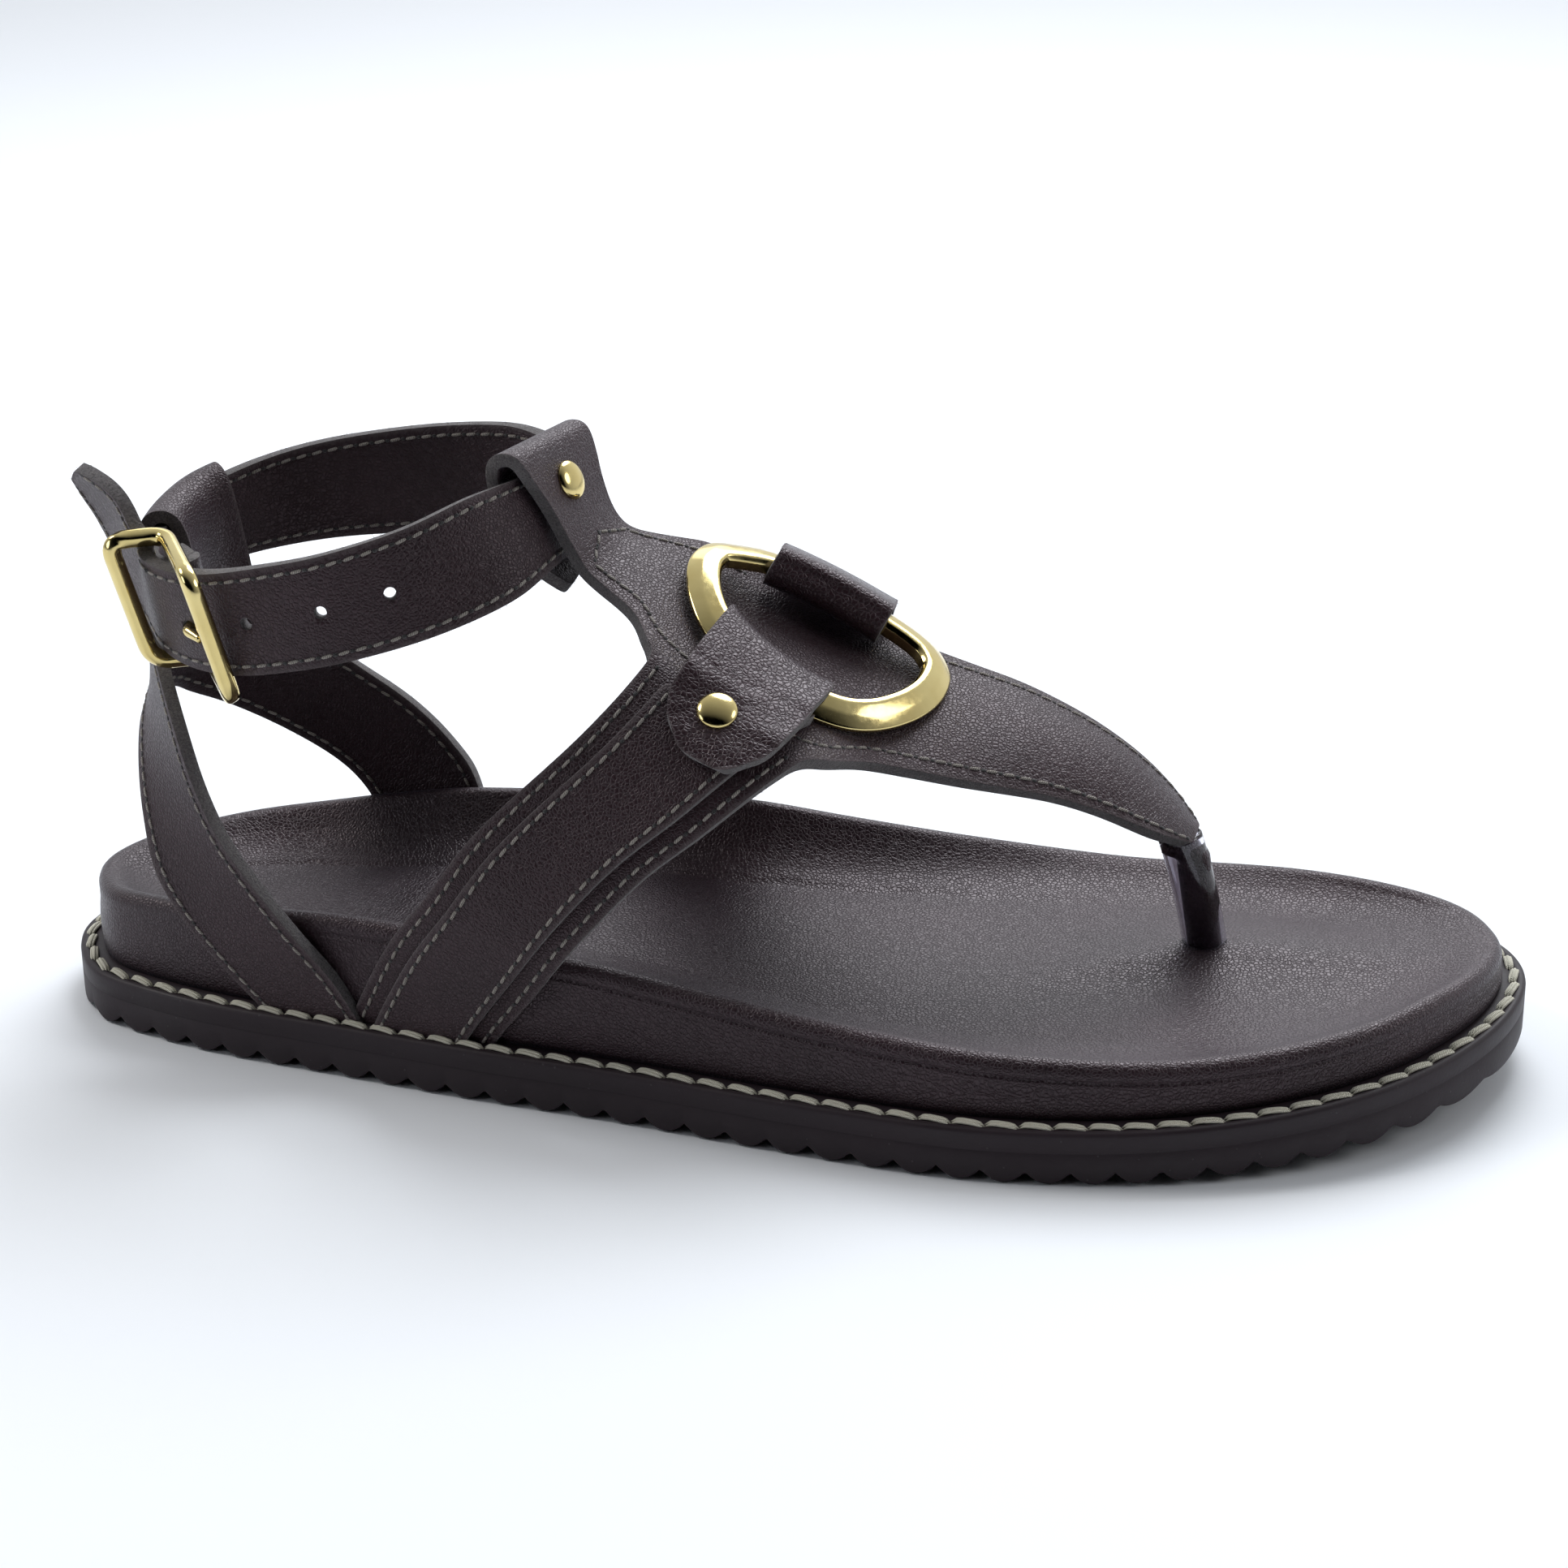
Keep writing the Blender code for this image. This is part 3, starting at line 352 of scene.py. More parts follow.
# Dull rubber: cloudy tone, with small pale specks of dust that stand a little low.
def rubberFinish(name):
    made, tree, shader = newMaterial(name)
    place = objectPlace(tree)
    cloud = noise(tree, place, 60.0, 5.0, 0.6)
    specks = addNode(tree, "ShaderNodeTexVoronoi", {"Vector": place, "Scale": 420.0, "Randomness": 1.0})
    dots = ramp(tree, specks.outputs["Distance"], (0.05, 1.0), (0.09, 0.0))
    base = mixColour(tree, cloud, finishes["rubberDark"], finishes["rubberLight"])
    base = mixColour(tree, maths(tree, "MULTIPLY", dots, 0.35), base, finishes["dust"])
    height = maths(tree, "SUBTRACT", noise(tree, place, 1500.0, 3.0), dots)
    fill(tree, shader, {
        "Base Color": base, "Roughness": ramp(tree, cloud, (0.3, 0.46), (0.7, 0.6)),
        "Specular IOR Level": 0.3, "Normal": bump(tree, height, 0.35, 0.00012)})
    return made


# Twisted thread: slanted bands across its own UV, lighter on the strands and darker between them as painted shade
# of the twist, with random fibre tone.
def threadFinish(name, dark, light, turns):
    made, tree, shader = newMaterial(name)
    place = addNode(tree, "ShaderNodeTexCoord").outputs["UV"]
    bands = addNode(tree, "ShaderNodeTexWave", {
        "Vector": place, "Scale": turns, "Distortion": 1.2, "Detail": 2.0, "Detail Scale": 2.0},
        bands_direction="DIAGONAL")
    nap = group(tree, fibres, Scale=3600.0)
    # Bands give painted shade between the strands; the fibre noise is random tone.
    strands = maths(tree, "MULTIPLY_ADD", nap.outputs["Tone"], 0.5, bands.outputs["Fac"])
    fill(tree, shader, {"Base Color": ramp(tree, strands, (0.25, dark), (0.85, light)),
                        "Normal": bump(tree, strands, 0.7, 0.0003), "Roughness": 0.75})
    return made


# Polished pale gold, its tone and gloss a little uneven.
def goldFinish(name):
    made, tree, shader = newMaterial(name)
    place = objectPlace(tree)
    cloud, fine = noise(tree, place, 140.0, 4.0), noise(tree, place, 900.0, 2.0)
    fill(tree, shader, {
        "Base Color": mixColour(tree, cloud, finishes["goldDeep"], finishes["goldPale"]),
        "Roughness": ramp(tree, fine, (0.3, 0.10), (0.75, 0.20)),
        "Normal": bump(tree, cloud, 0.12, 0.0004), "Metallic": 1.0})
    return made


# Clear plastic with faint cool streaks.
def clearFinish(name):
    made, tree, shader = newMaterial(name)
    streaks = noise(tree, objectPlace(tree), 220.0, 3.0)
    fill(tree, shader, {
        "Base Color": ramp(tree, streaks, (0.2, finishes["clearDeep"]), (0.8, finishes["clearPale"])),
        "Roughness": ramp(tree, streaks, (0.3, 0.03), (0.8, 0.14)),
        "Transmission Weight": 1.0, "IOR": 1.42, "Metallic": 0.0})
    return made


finishes = {
    "rawDark": (0.028, 0.022, 0.023), "rawLight": (0.155, 0.135, 0.135),
    "rubberDark": (0.015, 0.009, 0.012), "rubberLight": (0.026, 0.016, 0.021), "dust": (0.09, 0.08, 0.085),
    "goldDeep": (0.58, 0.45, 0.17), "goldPale": (0.78, 0.66, 0.32),
    "clearDeep": (0.86, 0.84, 0.95), "clearPale": (0.96, 0.95, 1.0),
    # dark, light, roughness, grain scale, strength of its bump, creases, width of the worn edge
    "strapLeather": ((0.0165, 0.0078, 0.0098), (0.033, 0.0165, 0.0205), 0.36, 1450.0, 0.6, 0.9, 1.2),
    "tabLeather": ((0.0165, 0.0078, 0.0098), (0.034, 0.017, 0.0215), 0.28, 1200.0, 0.55, 1.6, 0.9),
    "bedLeather": ((0.0155, 0.0082, 0.0105), (0.030, 0.016, 0.0205), 0.32, 1400.0, 0.5, 0.5, 0.0),
}
leathers = ("strapLeather", "tabLeather", "bedLeather")
strapLeather, tabLeather, bedLeather = (leatherFinish(name) for name in leathers)
suede = suedeFinish("suedeEdge", finishes["rawDark"], finishes["rawLight"])
# Near-black marks for the needle holes: painted shade in the holes.
holeShade = suedeFinish("needleHoleShade", (0.003, 0.002, 0.002), (0.009, 0.007, 0.007))
rubber = rubberFinish("rubber")
# The dark end of each thread's ramp is painted shade between its strands.
weltThread = threadFinish("weltThread", (0.38, 0.35, 0.26), (0.95, 0.92, 0.78), 3.0)
seamThread = threadFinish("seamThread", (0.11, 0.10, 0.09), (0.42, 0.38, 0.34), 2.0)
gold = goldFinish("paleGold")
clear = clearFinish("clearPlastic")
print("materials made")


# One stitch is a short bar, thick in the middle, its ends dipping into the leather. With r = radius*(1-u^4)^0.5:
# centre + tangent*u*length/2 + side*r*cos(v) + normal*(r*sin(v)*flat - 1.6*radius*dip*u^4).
def stitches(name, places, tangents, normals, length, radius, finish, slant=0.0, dip=0.5, flat=0.8):
    u = np.linspace(-1, 1, 7)[None, :, None, None]
    v = np.linspace(0, 2 * np.pi, 8, endpoint=False)[None, None, :, None]
    places, normals = np.asarray(places)[:, None, None], unit(normals)[:, None, None]
    tangents = unit(tangents)[:, None, None]
    sides = unit(np.cross(normals, tangents))
    tangents = unit(tangents + sides * slant)
    sides = unit(np.cross(normals, tangents))
    thick = radius * np.sqrt(np.clip(1 - u ** 4, 0.02, 1))
    points = (places + tangents * u * length / 2 + sides * thick * np.cos(v)
              + normals * (thick * np.sin(v) * flat - radius * dip * u ** 4 * 1.6))
    count = len(points)
    index = np.arange(count * 56).reshape(count, 7, 8)
    wrapped = np.concatenate([index, index[:, :, :1]], axis=2)
    sidesOf = np.stack([wrapped[:, :-1, :-1], wrapped[:, :-1, 1:], wrapped[:, 1:, 1:], wrapped[:, 1:, :-1]], -1)
    faces = [*sidesOf.reshape(-1, 4), *index[:, 0, ::-1], *index[:, -1]]
    uv = np.stack(np.broadcast_arrays(u[..., 0] * length / (2 * radius) / 4 + 10, v[..., 0] / (2 * np.pi)), -1)
    uv = np.broadcast_to(uv, (count, 7, 8, 2)).reshape(-1, 2)
    makePiece(name, points, faces, finish, "strap_leather", uv=uv)


# Faces are turned outward, each loose part by itself.
def flipWrong(obj):
    shape = bmesh.new()
    shape.from_mesh(obj.data)
    bmesh.ops.recalc_face_normals(shape, faces=shape.faces)
    shape.to_mesh(obj.data)
    shape.free()


# A piece rides the root and stands in for the solids named.
def settle(obj, slot, *nodes):
    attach(obj, "root")
    if nodes:
        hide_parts(*nodes)


# A piece of one finish: its faces turned outward, then settled.
def makePiece(name, points, faces, finish, slot, *nodes, **more):
    obj = makeMesh(name, np.reshape(points, (-1, 3)), faces, [finish], **more)
    flipWrong(obj)
    settle(obj, slot, *nodes)
    return obj


def meshTree(obj):
    shape = bmesh.new()
    shape.from_mesh(obj.data)
    tree = BVHTree.FromBMesh(shape)
    shape.free()
    return tree


# Places at a pitch along a path, each dropped on the nearest skin from a little outside it.
def onSkin(tree, path, outward, pitch, lift=0.0):
    path, outward = np.asarray(path, float), np.asarray(outward, float)
    count = max(2, int(round(travel(path)[-1] / pitch)))
    both = evenPoints(np.hstack([path, outward * 0.02]), 2 * count + 1)[1::2]
    ahead = np.gradient(both[:, :3], axis=0)
    found, facing, kept = [], [], []
    for number, row in enumerate(both):
        away = unit(row[3:])
        spot, normal, _, gap = tree.find_nearest(Vector(toMetres(row[:3] + away * 1.5)))
        if spot is None or gap > 0.006:
            continue
        normal = np.array(normal)
        normal = normal if normal @ away > 0 else -normal
        found.append(toLast(spot) + normal * lift)
        facing.append(unit(normal + 0.5 * away))
        kept.append(number)
    return np.array(found), ahead[kept], np.array(facing)


thread = {
    "pitch": 3.0, "length": 2.3, "radius": 0.30, "lift": 0.06, "slant": 0.10,
    "hole": (0.85, 0.32), "holeDepth": 0.05,  # length and radius
}


# Stitches along lines on a piece, and at both ends of each a near-black mark, painted shade in its needle hole.
def seam(name, tree, lines):
    parts = [onSkin(tree, path, outward, thread["pitch"], thread["lift"]) for path, outward in lines]
    places, tangents, normals = (np.concatenate(part) for part in zip(*parts))
    stitches(name, places, tangents, normals, thread["length"], thread["radius"], seamThread, slant=thread["slant"])
    half = unit(tangents) * thread["pitch"] / 2
    tangents, normals = np.tile(tangents, (2, 1)), np.tile(normals, (2, 1))
    ends = np.concatenate([places + half, places - half]) - normals * thread["holeDepth"]
    # Dark marks at the needle holes: painted shade in the holes.
    stitches(name + "Holes", ends, tangents, normals, *thread["hole"], holeShade, flat=0.45, dip=0.1)


sole = {
    "length": 268.0, "thick": 9.8, "shelf": 4.5, "toeSpring": 5.9, "springStart": 0.68,
    "ribPitch": 7.45, "ribDepth": 2.1, "points": 560,
    "stitchPitch": 5.71, "stitchInset": 2.15,
    "strands": ((-0.46, 0.0), (-0.02, 0.22), (0.42, 0.03)),  # sideways, up
    # inward from the plan, share of the height, extra: up the wall, over the edge and into the seam's channel
    "wall": (
        (1.4, 0.0, 0.0), (0.5, 0.0, 0.08), (0.1, 0.0, 0.35), (0.0, 0.0, 0.8),
        (0.0, 0.6, -0.28), (0.14, 0.6, -0.07), (0.14, 0.6, 0.07), (0.0, 0.6, 0.28),
        (0.0, 1.0, -0.9), (0.12, 1.0, -0.4), (0.45, 1.0, -0.1), (0.9, 1.0, 0.0),
        (1.35, 1.0, -0.05), (1.6, 1.0, -0.22), (2.1, 1.0, -0.30), (2.7, 1.0, -0.22), (3.0, 1.0, 0.0),
        (5.0, 1.0, 0.0), (8.0, 1.0, -0.1)),
    "lateral": (
        (0.0, 0.0), (3.0, -11.0), (10.0, -20.5), (22.0, -26.3), (38.0, -31.0), (60.0, -35.0),
        (85.0, -39.5), (115.0, -43.8), (145.0, -49.2), (172.0, -52.7), (192.0, -52.0),
        (212.0, -48.4), (231.0, -41.0), (247.0, -30.2), (258.5, -17.0), (265.6, -3.0), (267.9, 11.0)),
    "medial": (
        (0.0, 0.0), (2.6, 11.5), (9.5, 22.5), (22.0, 31.2), (38.0, 35.0), (58.0, 34.8),
        (76.0, 33.7), (98.0, 34.0), (122.0, 36.6), (143.0, 40.8), (165.0, 45.4), (186.0, 48.4),
        (206.0, 48.2), (226.0, 46.8), (243.0, 41.8), (256.5, 34.0), (264.5, 24.0), (267.9, 11.0)),
}


# Lift of the sole: nothing to the ball, then the square of the share of the way to the toe.
def spring(station):
    share = np.clip((station / sole["length"] - sole["springStart"]) / (1.0 - sole["springStart"]), 0.0, 1.0)
    return sole["toeSpring"] * share ** 2


# Closed plan of the sole from one spline: lateral side to the toe, medial side back to the heel.
def soleOutline(count):
    whole = smoothCurve(sole["lateral"] + sole["medial"][-2:0:-1], 24, closed=True)
    turn = 24 * (len(sole["lateral"]) - 1)
    lateral = evenPoints(whole[:turn + 1], count + 1)
    medial = evenPoints(np.vstack([whole[turn:], whole[:1]]), count + 1)
    return np.vstack([lateral[:-1], medial[:-1]])


# The plan moved inward at right angles to its own direction.
def inset(outline, distance):
    ahead = unit(np.roll(outline, -1, 0) - np.roll(outline, 1, 0))
    return outline + distance * np.stack([-ahead[:, 1], ahead[:, 0]], axis=1)


# Underside of the lugs: each a round lobe, depth*phase^2 to both sides, with a sharp notch between two.
def tread(station):
    phase = np.abs((station - heelSeat) / sole["ribPitch"] - np.round((station - heelSeat) / sole["ribPitch"])) * 2
    fade = np.clip((sole["length"] + 8.0 - station) / 30.0, 0.0, 1.0)
    return spring(station) + sole["ribDepth"] * fade * phase ** 2


# Rings round the plan from the tread up the wall to the shelf, closed above and below by rows across.
def buildOutsole():
    outline = soleOutline(sole["points"])
    top, rings = sole["thick"], []
    for distance, share, extra in sole["wall"]:
        ring = inset(outline, distance)
        low, high = tread(ring[:, 0]), top + spring(ring[:, 0])
        height = low + extra if share == 0.0 else spring(ring[:, 0]) + top * share + extra
        rings.append(np.column_stack([ring, np.minimum(height, high)]))
    points, index = np.vstack(rings), numbered(np.array(rings))
    faces = [quads(index, wrapColumns=True)]
    count, half = len(outline), len(outline) // 2
    for ring, columns in ((0, 21), (len(rings) - 1, 3)):
        loop = index[ring]
        left, right = loop[:half + 1], loop[(count - np.arange(half + 1)) % count]
        share = np.linspace(0, 1, columns)[None, 1:-1, None]
        between = points[left][:, None] * (1 - share) + points[right][:, None] * share
        if ring == 0:
            between[..., 2] = tread(between[..., 0])
        start = len(points)
        points = np.vstack([points, between.reshape(-1, 3)])
        inner = start + np.arange(between[..., 0].size).reshape(half + 1, columns - 2)
        faces.append(quads(np.hstack([left[:, None], inner, right[:, None]])))
    settle(makeMesh("outsoleRubber", points, np.vstack(faces), [rubber], weld=0.01, sharp=50),
           "outsole_rubber", "outsole")


buildOutsole()


# Cream lockstitches lie end to end in the shelf's channel, each slanted and a little arched.
def buildWeltSeam():
    path = inset(soleOutline(400), sole["stitchInset"])
    closed = np.vstack([path, path[:1]])
    count = int(round(travel(closed)[-1] / sole["stitchPitch"]))
    plan = evenPoints(closed, 2 * count + 1)[1::2]
    height = sole["thick"] + 0.22 + spring(plan[:, 0])
    places = np.column_stack([plan, height])
    ahead = np.roll(places, -1, 0) - np.roll(places, 1, 0)
    normals = np.tile((0.0, 0.0, 1.0), (count, 1))
    sides = unit(np.cross(normals, ahead))
    places = np.concatenate([places + sides * shift + normals * lift for shift, lift in sole["strands"]])
    stitches("weltStitches", places, np.tile(ahead, (3, 1)), np.tile(normals, (3, 1)),
             sole["stitchPitch"] * 1.08, 0.36, weltThread, slant=-0.17, dip=1.3, flat=0.9)


buildWeltSeam()
print("sole made")


bed = {
    "points": 300, "gap": 0.3, "sunk": 0.25, "bulge": 0.35,
    # station, lateral rim, medial rim, middle of the bed
    "heights": (
        (0.0, 23.4, 23.4, 20.5), (16.0, 24.9, 23.4, 18.6), (37.0, 26.6, 25.6, 18.0),
        (54.0, 28.2, 28.7, 18.8), (72.0, 28.8, 31.4, 20.6), (100.0, 27.4, 32.4, 22.0),
        (122.0, 25.4, 31.5, 20.6), (143.0, 23.4, 27.4, 18.4), (165.0, 21.8, 23.2, 17.2),
        (190.0, 20.3, 20.0, 16.6), (215.0, 20.0, 20.2, 16.8), (241.0, 21.6, 21.0, 18.0),
        (257.0, 23.2, 21.4, 19.4), (268.0, 22.6, 21.6, 20.4)),
    # inset from the wall, drop below the rim: skirt, seam line, lip
    "lip": ((0.0, 4.6), (-0.12, 3.9), (-0.05, 3.45), (0.28, 3.2), (0.02, 2.9), (-0.12, 2.4), (0.0, 1.7),
            (0.3, 0.95), (0.8, 0.4), (1.4, 0.1), (2.0, 0.0), (2.7, 0.07), (3.3, 0.3)),
    # distance in from the wall, share of the rim's height
    "slope": ((3.3, 0.97), (3.6, 0.93), (5.2, 0.72), (7.0, 0.50), (9.4, 0.30), (12.0, 0.16), (15.5, 0.05),
              (19.0, 0.0), (60.0, 0.0)),
    "postFoot": (211.4, 9.7), "ridge": 2.1,
    "ridgeReach": (7.5, 15.0, 34.0, 26.0),  # to the lateral side, medial side, toe and heel
    # depth, place and reach along x, place and reach along y
    "besideRidge": (0.9, 20.0, 24.0, 20.0, 10.0), "ballHollow": (0.8, 178.0, 24.0, -4.0, 26.0),
}


# Rim and middle heights at a station, from a spline through the table. Across the bed the rim goes over
# from its lateral to its medial height.
def bedHeights(x, y):
    table = smoothCurve(bed["heights"], 6)
    lateral, medial, middle = (np.interp(x, table[:, 0], table[:, k]) for k in (1, 2, 3))
    side = np.clip(0.5 + y / 36.0, 0.0, 1.0)
    return lateral * (1 - side) + medial * side, middle


# The skirt and lip are rings at fixed insets; inside them rows run to the middle line, and the height there is
# rim*f(d) + bed*(1-f(d)), d the distance to the wall, plus a low ridge that runs out from the toe post.
def buildFootbed():
    wall = inset(soleOutline(bed["points"]), sole["shelf"])
    count, half = len(wall), bed["points"]
    rim, _ = bedHeights(wall[:, 0], wall[:, 1])
    foot = sole["thick"] + bed["gap"] - bed["sunk"] + spring(wall[:, 0])
    rings = [np.column_stack([inset(wall, 0.6), foot]), np.column_stack([inset(wall, 0.15), foot + 0.05])]
    for share in (0.08, 0.35, 0.62, 0.85):
        bulge = -bed["bulge"] * math.sin(math.pi * share)
        rings.append(np.column_stack([inset(wall, bulge), foot + (rim - bed["lip"][0][1] - foot) * share]))
    along = wall[:, 0]
    seamDepth = np.clip((along - 46.0) / 26.0, 0.12, 1.0) * np.clip((262.0 - along) / 30.0, 0.25, 1.0)
    for distance, drop in bed["lip"]:
        depth = distance * np.where((distance < 0.3) & (drop > 1.5) & (drop < 3.95), seamDepth, 1.0)
        rings.append(np.column_stack([inset(wall, depth[:, None]), rim - drop]))
    start = rings[-1][:, :2]
    middleX = np.clip(start[:, 0], 26.0, 232.0)
    low = np.interp(middleX, wall[:half, 0], wall[:half, 1])
    high = np.interp(middleX, wall[:half - 1:-1, 0], wall[:half - 1:-1, 1])
    centre = np.column_stack([middleX, 0.5 * (low + high)])
    shares = np.linspace(0, 1, 34)[1:] ** 1.15
    plan = start[None] * (1 - shares[:, None, None]) + centre[None] * shares[:, None, None]
    flat = plan.reshape(-1, 2)
    away = np.concatenate([np.min(np.linalg.norm(part[:, None] - wall[None, ::2], axis=2), axis=1)
                           for part in np.array_split(flat, 24)])
    slope = smoothCurve(bed["slope"], 5)
    part = np.interp(away, slope[:, 0], slope[:, 1])
    rimHere, bedHere = bedHeights(flat[:, 0], flat[:, 1])
    height = rimHere * part + bedHere * (1 - part)
    dx, dy = flat[:, 0] - bed["postFoot"][0], flat[:, 1] - bed["postFoot"][1]
    aside = dy + 0.45 * np.clip(-dx, 0, None)
    lateral, medial, toe, heel = bed["ridgeReach"]
    height += bed["ridge"] * np.exp(-(aside / np.where(aside < 0, lateral, medial)) ** 2
                                    - (dx / np.where(dx > 0, toe, heel)) ** 2)
    height -= hill(dx, np.abs(dy), *bed["besideRidge"]) + hill(flat[:, 0], flat[:, 1], *bed["ballHollow"])
    inner = np.column_stack([flat, height]).reshape(len(shares), count, 3)
    points = np.concatenate([np.array(rings), inner]).reshape(-1, 3)
    index = np.arange(len(points)).reshape(-1, count)
    faces = [quads(index, wrapColumns=True)]
    loop = index[0]
    faces.append(quads(np.column_stack([loop[:half + 1], loop[(count - np.arange(half + 1)) % count]])))
    settle(makeMesh("footbedLeather", points, np.vstack(faces), [bedLeather], weld=0.02),
           "footbed_leather", "footbed")


buildFootbed()
print("footbed made")


vamp = {
    "leather": 2.4, "overlay": 1.3, "overlayShare": 0.64, "steps": 3,
    # lateral edge, medial edge, crown, from the toe post to the instep loop
    "rows": (
        (207.5, 6.3, 38.3, 208.2, 13.2, 38.9, 0.5), (202.0, 1.1, 41.8, 203.0, 17.9, 43.8, 1.4),
        (193.2, -0.5, 45.7, 196.4, 18.5, 50.0, 2.0), (184.8, -2.7, 48.9, 187.4, 19.7, 55.6, 2.2),
        (176.5, -5.4, 51.1, 176.4, 21.2, 60.3, 2.2), (169.0, -7.3, 52.7, 167.2, 22.2, 63.0, 1.9),
        (161.0, -9.2, 54.6, 159.2, 22.8, 65.4, 1.3), (152.5, -13.6, 57.5, 149.3, 23.6, 68.6, 0.5),
        (144.2, -24.0, 61.7, 139.5, 25.0, 72.2, -0.4), (129.4, -20.6, 68.0, 128.0, 23.6, 78.8, -0.8),
        (116.4, -16.2, 76.2, 119.0, 20.5, 84.2, 0.0), (111.2, -9.0, 80.7, 112.4, 17.4, 86.2, 0.6),
        (102.4, -4.6, 85.6, 105.4, 13.9, 88.6, 0.8), (99.0, -4.0, 90.3, 101.7, 13.6, 92.4, 0.4),
        (95.4, -4.5, 97.6, 99.7, 13.4, 98.6, 0.0), (92.6, -6.0, 103.0, 98.3, 15.0, 103.0, 0.0),
        (90.0, -7.4, 107.2, 96.3, 16.2, 107.2, 0.0), (86.4, -7.0, 106.2, 92.4, 16.0, 106.2, 0.0),
        (86.5, -6.0, 100.4, 90.8, 14.8, 100.4, 0.0), (89.6, -4.6, 92.6, 92.2, 13.4, 93.0, 0.0),
        (93.1, -4.2, 86.8, 94.2, 13.0, 88.2, 0.0), (98.1, -2.6, 82.8, 98.4, 12.6, 84.9, 0.2)),
    "lateralRoot": (8, 10), "medialRoot": (7, 9),
    # column and rows of the grid, then places (row, column) and shares or columns of the straps
    "edgeSeams": ((0.55, 0.6, 25.0), (5.5, 0.6, 20.0), (0.8, 27.0, 36.6), (5.4, 28.0, 36.4)),
    "loopSeam": ((36.4, 5.4), (38.6, 3.0), (36.6, 0.9)),
    "strapSeams": (0.075, 0.925), "overlaySeams": (0.52, 5.48),
    # front edge, back edge, from the vamp to the welt
    "lateral": (
        (144.2, -24.0, 61.7, 116.4, -16.2, 76.2), (137.7, -30.4, 58.3, 112.4, -22.0, 71.2),
        (128.1, -35.4, 50.8, 105.0, -27.6, 63.6), (119.8, -37.6, 44.6, 96.2, -31.0, 55.6),
        (111.5, -39.2, 35.9, 87.0, -34.0, 46.6), (105.0, -39.9, 28.4, 79.6, -35.3, 36.2),
        (99.0, -38.0, 20.0, 72.2, -34.0, 27.2), (91.8, -35.9, 11.0, 64.6, -31.4, 13.0),
        (89.0, -34.6, 5.0, 61.4, -30.0, 6.0)),
    "medial": (
        (149.3, 23.6, 68.6, 128.0, 23.6, 78.8), (144.0, 31.0, 60.4, 121.6, 28.6, 72.0),
        (137.0, 34.8, 51.4, 113.4, 32.0, 62.6), (129.6, 35.8, 42.6, 105.2, 33.4, 52.0),
        (122.6, 35.2, 33.8, 98.0, 32.6, 41.6), (117.0, 32.8, 25.0, 91.4, 30.9, 31.0),
        (113.4, 32.2, 10.2, 86.4, 30.8, 10.2), (112.4, 32.2, 6.0, 85.4, 30.8, 6.0)),
}


# Sheet between two edges: the chord between them, raised by crown*4s(1-s) along the normal.
def vampGrid():
    curve = smoothCurve(vamp["rows"], vamp["steps"])
    share = np.linspace(0.0, 1.0, 7)[None, :, None]
    chord = curve[:, None, :3] * (1 - share) + curve[:, None, 3:6] * share
    return chord + gridNormals(chord) * curve[:, None, 6:7] * (4 * share * (1 - share))


# Chord grid between two edges of a table; its first row is eased on to the row it grows from.
def edgeGrid(table, steps, columns, root=None):
    curve = smoothCurve(table, steps)
    share = np.linspace(0.0, 1.0, columns)[None, :, None]
    grid = curve[:, None, :3] * (1 - share) + curve[:, None, 3:6] * share
    if root is not None:
        rows = np.linspace(0.0, 1.0, len(grid))[:, None, None]
        grid = grid + (root - grid[0])[None] * (1 - rows) ** 3
    return grid


# A grid read at fractional rows and columns, by straight interpolation between its four neighbours.
def readGrid(grid, rows, columns):
    rows, columns = np.broadcast_arrays(np.asarray(rows, float), np.asarray(columns, float))
    i = np.clip(np.floor(rows).astype(int), 0, grid.shape[0] - 2)
    j = np.clip(np.floor(columns).astype(int), 0, grid.shape[1] - 2)
    a, b = (rows - i)[..., None], (columns - j)[..., None]
    return ((grid[i, j] * (1 - b) + grid[i, j + 1] * b) * (1 - a)
            + (grid[i + 1, j] * (1 - b) + grid[i + 1, j + 1] * b) * a)


# A seam's line on a grid: its points, and the outward directions there.
def lineOn(grid, away, rows, columns):
    return readGrid(grid, rows, columns), readGrid(away, rows, columns)


